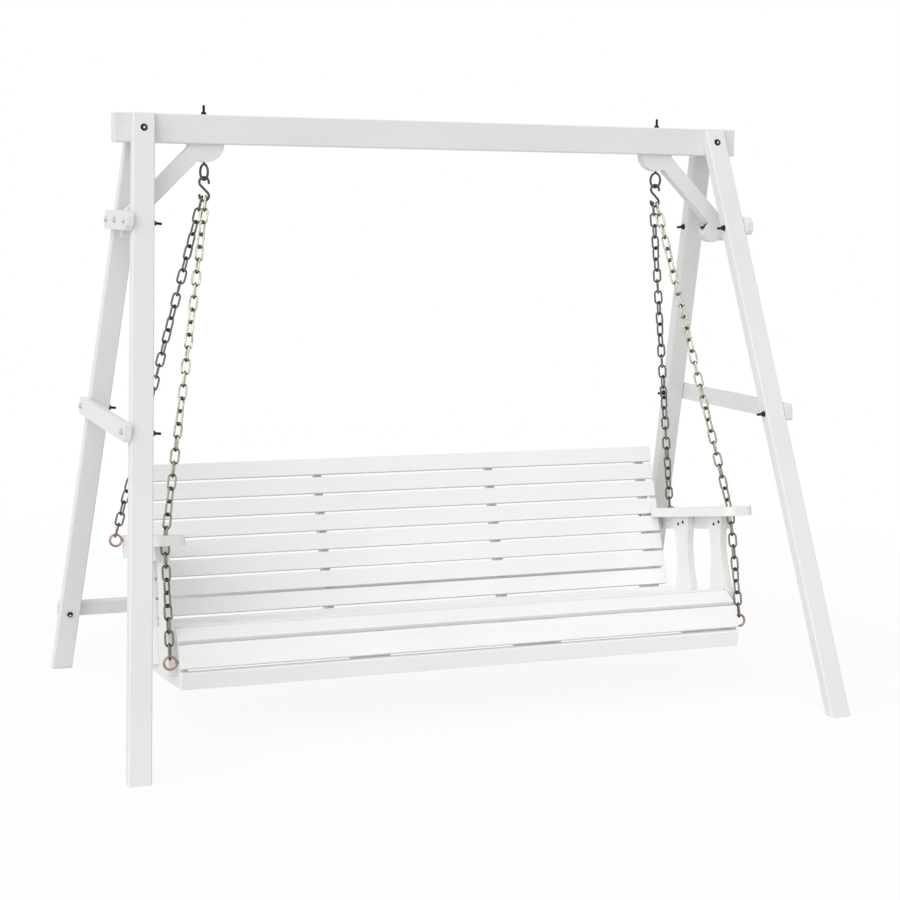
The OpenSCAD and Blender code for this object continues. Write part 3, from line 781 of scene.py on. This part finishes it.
def use_tree(piece, tree, numbers=None):
    """Adds a geometry tree to a piece, with its inputs set by their identifiers."""
    modifier = piece.modifiers.new("shape", "NODES")
    modifier.node_group = tree
    for socket in tree.interface.items_tree:
        if socket.in_out == "INPUT" and numbers and socket.name in numbers:
            modifier[socket.identifier] = numbers[socket.name]


def slat_tree(material):
    """Square-edged boards, one on each point, as large as the point's size attribute says."""
    tree, graph, given = geometry_tree("slats", {})
    size = graph.node("GeometryNodeInputNamedAttribute", {"data_type": "FLOAT_VECTOR"}, {"Name": "size"})
    board = graph.node("GeometryNodeMeshCube", None, {"Size": (1, 1, 1)})
    slats = instances_on(graph, given["Geometry"], board.outputs[0], size.outputs[0])
    end_tree(graph, slats, material)
    return tree


def link_tree(material):
    """Welded chain links, one on each point."""
    tree, graph, given = geometry_tree("chain_links", {
        "Wire": 6 * MM, "Width": 27 * MM, "Length": 48 * MM, "Weld Swell": 0.14, "Bend Points": 36,
        "Wire Sides": 12})
    wire, width, length, swell = (
        Field(graph, given[key]) for key in ("Wire", "Width", "Length", "Weld Swell"))
    loop = graph.node("GeometryNodeCurvePrimitiveQuadrilateral", None,
                      {"Width": width - wire, "Height": length - wire})
    bends = graph.node("GeometryNodeFilletCurve", {"mode": "POLY"},
                       {"Curve": loop.outputs[0], "Count": 8, "Radius": (width - wire) * 0.499,
                        "Limit Radius": True})
    even = graph.node("GeometryNodeResampleCurve", None,
                      {"Curve": bends.outputs[0], "Count": given["Bend Points"]})
    place = graph.node("ShaderNodeSeparateXYZ", None, {0: graph.node("GeometryNodeInputPosition").outputs[0]})
    across, along = Field(graph, place.outputs[0]), Field(graph, place.outputs[1])
    # the weld is in the middle of one long side
    near_weld = (1 - abs(along) / WELD_REACH).between(0.0, 0.8) * across.between(0, 2 * MM)
    swollen = graph.node("GeometryNodeSetCurveRadius", None,
                         {"Curve": even.outputs[0], "Radius": 1 + near_weld * swell})
    section = graph.node("GeometryNodeCurvePrimitiveCircle", None,
                         {"Resolution": given["Wire Sides"], "Radius": wire / 2})
    link = graph.node("GeometryNodeCurveToMesh", None,
                      {"Curve": swollen.outputs[0], "Profile Curve": section.outputs[0]})
    end_share = abs(along) / (length / 2)
    marked = graph.node("GeometryNodeStoreNamedAttribute", {"data_type": "FLOAT", "domain": "POINT"},
                        {"Geometry": link.outputs[0], "Name": "end_share", "Value": end_share})
    links = instances_on(graph, given["Geometry"], marked.outputs[0])
    smooth = graph.node("GeometryNodeSetShadeSmooth", None, {0: links})
    end_tree(graph, smooth.outputs[0], material)
    return tree


def copies_tree(name, source, material):
    """Copies of a template, one on each point."""
    tree, graph, given = geometry_tree(name, {})
    shape = graph.node("GeometryNodeObjectInfo", {"transform_space": "ORIGINAL"}, {"Object": source})
    copies = instances_on(graph, given["Geometry"], shape.outputs["Geometry"])
    end_tree(graph, copies, material)
    return tree


def spread_copies(name, shape, seats, material):
    """One mesh with a copy of a shape at each seat, which is a (place, rotation) pair."""
    source = template(f"{name}_template", shape)
    piece = point_cloud(name, [place for place, _ in seats], turn=[turn.to_euler() for _, turn in seats])
    use_tree(piece, copies_tree(name, source, material))
    settle(piece)
    bpy.data.objects.remove(source)
    return piece


def sharpen(piece):
    """Smooth faces with the hard edges kept hard."""
    shell = bmesh.new()
    shell.from_mesh(piece.data)
    for edge in shell.edges:
        edge.smooth = len(edge.link_faces) == 2 and edge.calc_face_angle(0.0) < HARD_ANGLE
    shell.to_mesh(piece.data)
    shell.free()


# ---- boards ----

# the edges of a board that bend by more than this are softened, but not the rims of holes up to this wide
BOARD_EDGE_ANGLE = math.radians(24)
WIDEST_HOLE = 16 * MM
# the edges of a slat that bend by more than this are rounded
SLAT_EDGE_ANGLE = math.radians(40)


def paint_for(kind, along, paint, boards):
    """The painted wood of one kind of board, made once for each direction of its grain."""
    along = along if along.dot(Vector((1, 0.3, 0.1))) >= 0 else -along
    name = f"{kind}_{round(along.x * 100)}_{round(along.y * 100)}_{round(along.z * 100)}"
    return bpy.data.materials.get(name) or painted_wood(name, along, paint, boards)


def soften_board(node, body, slot, boards):
    """A CAD board with its planed edges softened and its paint on."""
    piece = new_piece(f"{node}_painted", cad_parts[node].data.copy())
    shell = bmesh.new()
    shell.from_mesh(piece.data)
    bmesh.ops.remove_doubles(shell, verts=shell.verts, dist=DOUBLES)
    bmesh.ops.dissolve_limit(shell, angle_limit=FLAT_ANGLE, verts=shell.verts, edges=shell.edges)
    for face in shell.faces:
        face.smooth = True
    mark_outer_edges(shell, BOARD_EDGE_ANGLE, WIDEST_HOLE)
    shell.to_mesh(piece.data)
    shell.free()
    if "custom_normal" in piece.data.attributes:
        piece.data.attributes.remove(piece.data.attributes["custom_normal"])
    add_bevel(piece, boards.board_edge, boards.edge_steps)
    settle(piece)
    grain = max(solids_of(node), key=lambda solid: solid.size[0]).axes[0]
    paint = boards.stand_colour if body == STAND else boards.bench_colour
    finish_piece(piece, body, [node], paint_for(slot, grain, paint, boards))


def make_slats(name, nodes, boards):
    """Rounded slats where the CAD slats are."""
    slats = [solids_of(node)[0] for node in nodes]
    turns = [turned_to(slat.axes[2], slat.axes[0]).to_euler() for slat in slats]
    piece = point_cloud(name, [slat.middle for slat in slats], turn=turns, size=[slat.size for slat in slats])
    # the slats' lighter copy of the bench paint is painted light
    material = paint_for("slat_paint", X_AXIS, boards.lit_slat_colour, boards)
    use_tree(piece, slat_tree(material))
    add_bevel(piece, boards.slat_edge, boards.edge_steps + 1, SLAT_EDGE_ANGLE)
    settle(piece)
    finish_piece(piece, BENCH, nodes, material)


class SWING_OT_stand_boards(bpy.types.Operator):
    """Paint the beam, legs, plates, braces and stretcher"""

    bl_idname = "swing.stand_boards"
    bl_label = "Stand Boards"

    def execute(self, context):
        for node in STAND_BOARDS:
            soften_board(node, STAND, "stand_paint", settings(context)[0])
        return {"FINISHED"}


class SWING_OT_bench_boards(bpy.types.Operator):
    """Paint the bench's ribs, battens, posts, blocks, cleats and arms"""

    bl_idname = "swing.bench_boards"
    bl_label = "Bench Boards"

    def execute(self, context):
        for node in BENCH_BOARDS:
            soften_board(node, BENCH, "bench_paint", settings(context)[0])
        return {"FINISHED"}


class SWING_OT_slats(bpy.types.Operator):
    """Make the rounded slats of the seat and the back"""

    bl_idname = "swing.slats"
    bl_label = "Slats"

    def execute(self, context):
        boards = settings(context)[0]
        make_slats("seat_slats", SEAT_SLATS, boards)
        make_slats("back_slats", BACK_SLATS, boards)
        return {"FINISHED"}


# ---- chains and hooks ----

# how far each bend of an S-hook goes round
HOOK_SWEEP = math.radians(250)
HOOK_STEPS = 40
HOOK_SIDES = 16


class SWING_OT_chains(bpy.types.Operator):
    """Make the links of the four chains"""

    bl_idname = "swing.chains"
    bl_label = "Chains"

    def execute(self, context):
        chains = settings(context)[1]
        tarnish_and_joint_shade = chains.tarnish_and_joint_shade_colour
        # one plating in two copies, lit for the front chains and shaded for the rear ones: painted light and
        # painted shade
        finishes = {
            "front": plated_wire("chain_bright", chains.lit_front_colour, chains.shaded_low_colour, tarnish_and_joint_shade),
            "rear": plated_wire("chain_aged", chains.shaded_rear_colour, chains.shaded_rear_colour, tarnish_and_joint_shade),
        }
        trees = {end: link_tree(material) for end, material in finishes.items()}
        for chain in CHAINS:
            end = chain.split("_")[0]
            links = solids_of(f"chain_{chain}")
            # a link is drawn with its length along Y and its width along X
            turns = [turned_to(link.axes[0].cross(link.axes[1]) * -1, link.axes[1]) for link in links]
            piece = point_cloud(f"links_{chain}", [link.middle for link in links],
                                turn=[turn.to_euler() for turn in turns])
            use_tree(piece, trees[end], {
                "Wire": chains.wire,
                "Width": float(np.median([link.size[1] for link in links])),
                "Length": float(np.median([link.size[0] for link in links])),
                "Weld Swell": chains.weld_swell,
                "Bend Points": chains.bend_points,
                "Wire Sides": chains.wire_sides,
            })
            settle(piece)
            finish_piece(piece, BENCH, [f"chain_{chain}"], finishes[end])
        return {"FINISHED"}


def hook_path(low, high):
    """Middle line of an S-hook between the lowest and the highest point of its middle line."""
    # the bends' middles lie straight below and above the hook's middle, so its straight leans by 45 degrees
    radius = (high - low).length / (2 + 2 * math.sqrt(2))
    turn = Matrix.Rotation(-math.pi / 4, 3, "Y")
    angles = [math.pi - HOOK_SWEEP * (1 - i / HOOK_STEPS) for i in range(HOOK_STEPS + 1)]
    bend = [turn @ Vector((radius + radius * math.cos(a), 0, radius + radius * math.sin(a))) for a in angles]
    straight = [turn @ Vector((0, 0, radius * (1 - i / 4))) for i in range(1, 8)]
    lower = [Vector((-p.x, p.y, -p.z)) for p in reversed(bend)]
    middle = (low + high) / 2
    return [middle + p for p in bend + straight + lower]


def rounded_ends(path, radius):
    """Radius at each point of a wire whose two ends are rounded off."""
    walked = [0.0]
    for before, after in zip(path, path[1:]):
        walked.append(walked[-1] + (after - before).length)
    radii = []
    for place in walked:
        left = min(place, walked[-1] - place) / radius
        radii.append(radius * math.sqrt(max(0.04, 1 - max(0.0, 1 - left) ** 2)))
    return radii


class SWING_OT_hooks(bpy.types.Operator):
    """Make the two S-hooks"""

    bl_idname = "swing.hooks"
    bl_label = "S-hooks"

    def execute(self, context):
        hardware = settings(context)[2]
        material = rubbed_metal("hook_iron", hardware.iron_colour, 0.85, 0.32)
        radius = hardware.hook_wire / 2
        for side in SIDES:
            node = f"s_hook_{side}"
            low, high = (Vector(corner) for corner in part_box(node))
            x = (low.x + high.x) / 2
            path = hook_path(Vector((x, 0, low.z + radius)), Vector((x, 0, high.z - radius)))
            shape = tube(path, rounded_ends(path, radius), HOOK_SIDES)
            piece = new_piece(f"hook_{side}", mesh_from(f"hook_{side}", *shape))
            finish_piece(piece, BENCH, [node], material)
        return {"FINISHED"}


# ---- bolts, nuts and eyes ----

# solids longer than this are bolts or eyes, and shorter ones nuts or washers
SHORTEST_BOLT = 30 * MM
# radius of the pale zinc stud in the middle of a bolt's head, which shows in its dish as a painted highlight
HIGHLIGHT_STUD_RADIUS = 0.46 * HEX["radius"]
# how far below its tip a bolt's plain shank ends, just inside the thread
SHANK_END = THREAD_LENGTH * 0.98
# radius of a plain shank as a share of the radius over the threads
SHANK_SHARE = 0.85
RING_POINTS = 56
RING_SIDES = 18
# where an eye's shank grows out of its ring: places along it, and radii as shares of the wire's diameter
NECK = ((0, 0.66), (1.5 * MM, 0.62), (4 * MM, 0.54))
NECK_LENGTH = 8 * MM


def bolts_and_nuts(node):
    """The bolts or eyes of a node, and their nuts, without the washers."""
    solids = [solid for solid in solids_of(node) if solid.size[2] > 1.5 * WASHER["height"]]
    bolts = [solid for solid in solids if solid.size[0] > SHORTEST_BOLT]
    nuts = [solid for solid in solids if solid.size[0] <= SHORTEST_BOLT]
    return bolts, nuts


def bolt_seats(node):
    """Seats of the heads, the nuts and the tips of a node's bolts, as (place, rotation) pairs."""
    bolts, nuts = bolts_and_nuts(node)
    head_depth = HEX["height"] + WASHER["height"]
    heads, nut_seats, tips = [], [], []
    for bolt in bolts:
        axis = bolt.axes[0]
        low, high = bolt.span(axis)
        if bolt.swell(axis, low, low + head_depth) < bolt.swell(axis, high - head_depth, high):
            axis = -axis
            low, high = bolt.span(axis)
        # the axis now points from the head to the tip
        base = bolt.centre - axis * bolt.centre.dot(axis)
        own_nut = min(nuts, key=lambda solid: (solid.centre - bolt.centre).length)
        nut_place = own_nut.span(axis)[0] - WASHER["height"]
        heads.append((base + axis * (low + head_depth), turned_to(-axis, bolt.axes[1])))
        nut_seats.append((base + axis * nut_place, turned_to(axis, bolt.axes[1])))
        tips.append((base + axis * high, turned_to(axis, bolt.axes[1])))
        nuts.remove(own_nut)
    return heads, nut_seats, tips


def shanks(heads, tips, radius):
    """Plain shanks from the heads to the threads."""
    parts = []
    for (head, _), (tip, _) in zip(heads, tips):
        along = (tip - head).normalized()
        parts.append(tube([head - along * HEX["height"] / 2, tip - along * SHANK_END], [radius, radius],
                          THREAD_SIDES))
    return joined(parts)


class SWING_OT_stand_bolts(bpy.types.Operator):
    """Make the bolts of the stand with their heads, washers, nuts and threads"""

    bl_idname = "swing.stand_bolts"
    bl_label = "Stand Bolts"

    def execute(self, context):
        hardware = settings(context)[2]
        black = rubbed_metal("black_finish", hardware.black_colour, 0.55, 0.30)
        zinc_and_highlight = rubbed_metal("zinc_finish", hardware.zinc_and_highlight_colour, 0.8, 0.38)
        head = hexagon(HEX["height"], dished=True)
        end = thread(hardware.bolt_radius, hardware.thread_pitch)
        top = WASHER["height"] + HEX["height"]
        # a pale zinc stud in each head's dish: a painted highlight on the black heads
        highlight_stud = lathe([(0, top * 0.5), (HIGHLIGHT_STUD_RADIUS, top * 0.5), (HIGHLIGHT_STUD_RADIUS, top * 0.94), (0, top)], 24)
        for node in ("beam_bolts", "side_bolts", "stretcher_bolts"):
            heads, nut_seats, tips = bolt_seats(node)
            outside = zinc_and_highlight if node == "side_bolts" else black
            shank_mesh = mesh_from("shanks", *shanks(heads, tips, hardware.bolt_radius * SHANK_SHARE))
            parts = [
                (spread_copies(f"{node}_heads", head, heads, outside), outside),
                (spread_copies(f"{node}_studs", highlight_stud, heads, zinc_and_highlight), zinc_and_highlight),
                (spread_copies(f"{node}_washers", washer(), heads, outside), outside),
                (spread_copies(f"{node}_nuts", nut(), nut_seats, black), black),
                (spread_copies(f"{node}_threads", end, tips, black), black),
                (new_piece(f"{node}_shanks", shank_mesh), black),
            ]
            for part, material in parts:
                sharpen(part)
                finish_piece(part, STAND, [node], material)
        return {"FINISHED"}


def ring(centre, first, second, radius, wire):
    """A ring of wire in the plane of two directions."""
    path = [centre + first * a + second * b for a, b in circle(radius, RING_POINTS)]
    return tube(path, [wire / 2] * RING_POINTS, RING_SIDES, closed=True)


def neck(start, end, radius, wire):
    """Shank that swells where it grows out of its ring."""
    along = (end - start).normalized()
    path = [start + along * place for place, _ in NECK] + [start + along * NECK_LENGTH, end]
    return tube(path, [wire * share for _, share in NECK] + [radius, radius], THREAD_SIDES)


class SWING_OT_beam_eyes(bpy.types.Operator):
    """Make the two eye bolts that hang from the beam, with their nuts and washers"""

    bl_idname = "swing.beam_eyes"
    bl_label = "Beam Eyes"

    def execute(self, context):
        hardware = settings(context)[2]
        iron = rubbed_metal("eye_iron", hardware.iron_colour, 0.85, 0.34)
        black = rubbed_metal("nut_black", hardware.black_colour, 0.55, 0.30)
        wire, radius = hardware.hook_wire, hardware.eye_radius
        low, high = (Vector(corner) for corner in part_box("top_eye_bolts"))
        nut_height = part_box("top_eye_nuts")[0][2]
        first = Matrix.Rotation(hardware.eye_turn, 3, "Z") @ Y_AXIS
        parts, tips, nut_seats = [], [], []
        for solid in solids_of("top_eye_bolts"):
            x = solid.middle.x
            centre = Vector((x, 0, low.z + wire / 2 + radius))
            tip = Vector((x, 0, high.z))
            parts.append(ring(centre, first, Z_AXIS, radius, wire))
            parts.append(neck(centre + Z_AXIS * (radius - wire * 0.1), tip - Z_AXIS * SHANK_END,
                              hardware.bolt_radius * SHANK_SHARE, wire))
            tips.append((tip, turned_to(Z_AXIS, X_AXIS)))
            nut_seats.append((Vector((x, 0, nut_height)), turned_to(Z_AXIS, X_AXIS)))
        body = new_piece("beam_eyes", mesh_from("beam_eyes", *joined(parts)))
        finish_piece(body, STAND, ["top_eye_bolts"], iron)
        end = thread(hardware.bolt_radius, hardware.thread_pitch)
        threads = spread_copies("beam_eye_threads", end, tips, black)
        sharpen(threads)
        finish_piece(threads, STAND, ["top_eye_bolts"], black)
        large_nut = nut(HEX["height"] + 1 * MM, WASHER["radius"] + 2 * MM)
        nuts = spread_copies("beam_eye_nuts", large_nut, nut_seats, black)
        sharpen(nuts)
        finish_piece(nuts, STAND, ["top_eye_nuts"], black)
        return {"FINISHED"}


class SWING_OT_seat_eyes(bpy.types.Operator):
    """Make the four eyes of the bench, with their nuts and washers"""

    bl_idname = "swing.seat_eyes"
    bl_label = "Seat Eyes"

    def execute(self, context):
        hardware = settings(context)[2]
        copper = rubbed_metal("seat_eye_copper", hardware.copper_colour, 0.9, 0.30)
        wire, radius = hardware.hook_wire, hardware.seat_eye_radius
        eyes, nuts = bolts_and_nuts("seat_eye_bolts")
        # the bench leans back with its arms, and so do the rings
        back = solids_of("arm_cleat_left")[0].axes[0]
        back = back if back.y > 0 else -back
        up = X_AXIS.cross(back)
        parts, tips, nut_seats = [], [], []
        for eye in eyes:
            outward = X_AXIS * math.copysign(1, eye.centre.x)
            low, high = eye.span(outward)
            middle = Vector((0, sum(eye.span(Y_AXIS)) / 2, sum(eye.span(Z_AXIS)) / 2))
            centre = middle + outward * (high - radius - wire / 2)
            tip = middle + outward * low
            parts.append(ring(centre, X_AXIS, up, radius, wire))
            parts.append(neck(centre - outward * (radius - wire * 0.1), tip + outward * SHANK_END,
                              hardware.bolt_radius * SHANK_SHARE, wire))
            own_nut = min(nuts, key=lambda solid: (solid.centre - tip).length)
            nut_place = own_nut.span(outward)[1] + WASHER["height"]
            tips.append((tip, turned_to(-outward, up)))
            nut_seats.append((middle + outward * nut_place, turned_to(-outward, up)))
        body = new_piece("seat_eyes", mesh_from("seat_eyes", *joined(parts)))
        finish_piece(body, BENCH, ["seat_eye_bolts"], copper)
        end = thread(hardware.bolt_radius, hardware.thread_pitch)
        for part in (
            spread_copies("seat_eye_threads", end, tips, copper),
            spread_copies("seat_eye_nuts", nut(), nut_seats, copper),
        ):
            sharpen(part)
            finish_piece(part, BENCH, ["seat_eye_bolts"], copper)
        return {"FINISHED"}


class SWING_OT_post_screws(bpy.types.Operator):
    """Make the screws that hold the arm posts"""

    bl_idname = "swing.post_screws"
    bl_label = "Post Screws"

    def execute(self, context):
        hardware = settings(context)[2]
        black = rubbed_metal("screw_black", hardware.black_colour, 0.6, 0.35)
        solids = solids_of("post_screws")
        heads = []
        for solid in solids:
            inward = X_AXIS * -math.copysign(1, solid.centre.x)
            base = solid.centre - inward * solid.centre.dot(inward)
            heads.append((base + inward * (solid.span(inward)[1] - SCREW["head"]), turned_to(inward, Z_AXIS)))
        piece = spread_copies("post_screw_heads", screw(solids[0].size[0]), heads, black)
        finish_piece(piece, BENCH, ["post_screws"], black)
        return {"FINISHED"}


# ---- stage ----

# the floor reaches this far from the middle on each side
FLOOR_REACH = 14.0
KEY_DIRECTION = (-3.6, -2.9, 4.0)
KEY_SPREAD = math.radians(70)
SENSOR_WIDTH = 36
VIEW_DISTANCE = 60


def floor_material():
    """Pale floor that the camera sees as white, with the swing's shadow left in it."""
    material, graph = new_material("pale_floor")
    lit = graph.node("ShaderNodeBsdfDiffuse", None, {"Color": (0.9, 0.9, 0.9, 1)})
    white = graph.node("ShaderNodeEmission", None, {"Color": (1, 1, 1, 1), "Strength": 1.0})
    rays = graph.node("ShaderNodeLightPath")
    seen = Field(graph, rays.outputs["Is Camera Ray"])
    place = graph.node("ShaderNodeNewGeometry").outputs["Position"]
    away = graph.out("ShaderNodeVectorMath", 1, {"operation": "LENGTH"}, {0: place})
    share = seen * (0.90 + away.between(1.2, 4.0) * 0.10)
    mixed = graph.node("ShaderNodeMixShader", None, {0: share, 1: lit.outputs[0], 2: white.outputs[0]})
    graph.node("ShaderNodeOutputMaterial", None, {"Surface": mixed.outputs[0]})
    return material


def soft_sun(name, towards, power, spread):
    """Even light from a wide patch of sky that lies towards a direction."""
    light = bpy.data.lights.new(name, "SUN")
    light.energy = power
    light.angle = spread
    lamp = bpy.data.objects.new(name, light)
    lamp.location = towards
    lamp.rotation_euler = Vector(towards).to_track_quat("Z", "Y").to_euler()
    bpy.context.scene.collection.objects.link(lamp)


def set_world(level):
    """White for the camera and for reflections, and even light of a level for the rest."""
    world = bpy.data.worlds.new("white_studio")
    bpy.context.scene.world = world
    world.use_nodes = True
    world.node_tree.nodes.clear()
    graph = Graph(world.node_tree)
    rays = graph.node("ShaderNodeLightPath")
    seen = Field(graph, rays.outputs["Is Camera Ray"])
    glossy = Field(graph, rays.outputs["Is Glossy Ray"])
    through = Field(graph, rays.outputs["Is Transmission Ray"])
    white = graph.maths("MINIMUM", seen + glossy + through, 1.0)
    strength = white * (1 - level) + level
    sky = graph.node("ShaderNodeBackground", None, {"Color": (1, 1, 1, 1), "Strength": strength})
    graph.node("ShaderNodeOutputWorld", None, {"Surface": sky.outputs[0]})


def set_camera(stage):
    """Camera from its place, its turn, its dip and its roll."""
    turn, dip, roll = stage.camera_turn, stage.camera_dip, stage.camera_roll
    ahead = Vector((math.sin(turn) * math.cos(dip), math.cos(turn) * math.cos(dip), -math.sin(dip)))
    level = Vector((math.cos(turn), -math.sin(turn), 0))
    down = ahead.cross(level)
    right = level * math.cos(roll) + down * math.sin(roll)
    below = level * -math.sin(roll) + down * math.cos(roll)
    camera = bpy.data.objects.new("main_camera", bpy.data.cameras.new("main_camera"))
    camera.data.sensor_width = SENSOR_WIDTH
    camera.data.lens = stage.lens
    camera.data.clip_end = VIEW_DISTANCE
    turned = Matrix((right, -below, -ahead)).transposed().to_4x4()
    camera.matrix_world = Matrix.Translation(Vector(stage.camera_place)) @ turned
    bpy.context.scene.collection.objects.link(camera)
    bpy.context.scene.camera = camera


class SWING_OT_stage(bpy.types.Operator):
    """Set up the floor, the lights and the camera"""

    bl_idname = "swing.stage"
    bl_label = "Stage"

    def execute(self, context):
        stage = settings(context)[3]
        context.scene.view_settings.view_transform = "Standard"
        corners = [(x * FLOOR_REACH, y * FLOOR_REACH, 0) for x, y in ((-1, -1), (1, -1), (1, 1), (-1, 1))]
        floor = new_piece("floor", mesh_from("floor", corners, [(0, 1, 2, 3)], smooth=False))
        floor.data.materials.append(floor_material())
        soft_sun("key", KEY_DIRECTION, stage.sun, KEY_SPREAD)
        set_world(stage.sky)
        set_camera(stage)
        return {"FINISHED"}


# ---- the add-on ----


class SWING_PT_panel(bpy.types.Panel):
    """Lists the operators of the swing"""

    bl_idname = "SWING_PT_panel"
    bl_label = "Garden Swing"
    bl_space_type = "VIEW_3D"
    bl_region_type = "UI"
    bl_category = "Swing"

    def draw(self, context):
        column = self.layout.column(align=True)
        for operator in OPERATORS:
            column.operator(operator.bl_idname)
        for group in settings(context):
            box = self.layout.box()
            for name in group.__annotations__:
                box.prop(group, name)


OPERATORS = (
    SWING_OT_stage,
    SWING_OT_stand_boards,
    SWING_OT_bench_boards,
    SWING_OT_slats,
    SWING_OT_chains,
    SWING_OT_hooks,
    SWING_OT_stand_bolts,
    SWING_OT_beam_eyes,
    SWING_OT_seat_eyes,
    SWING_OT_post_screws,
)
GROUPS = {
    "swing_boards": BoardSettings,
    "swing_chains": ChainSettings,
    "swing_hardware": HardwareSettings,
    "swing_stage": StageSettings,
}


CLASSES = (*GROUPS.values(), *OPERATORS, SWING_PT_panel)


def register():
    """Registers the classes and gives every scene its four groups of settings."""
    for added in CLASSES:
        bpy.utils.register_class(added)
    for name, group in GROUPS.items():
        setattr(bpy.types.Scene, name, PointerProperty(type=group))


def unregister():
    """Takes back what register does."""
    for name in GROUPS:
        delattr(bpy.types.Scene, name)
    for added in reversed(CLASSES):
        bpy.utils.unregister_class(added)


def main():
    """Registers the add-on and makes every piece."""
    register()
    for operator in OPERATORS:
        group, name = operator.bl_idname.split(".")
        getattr(getattr(bpy.ops, group), name)()


if __name__ == "__main__":
    main()
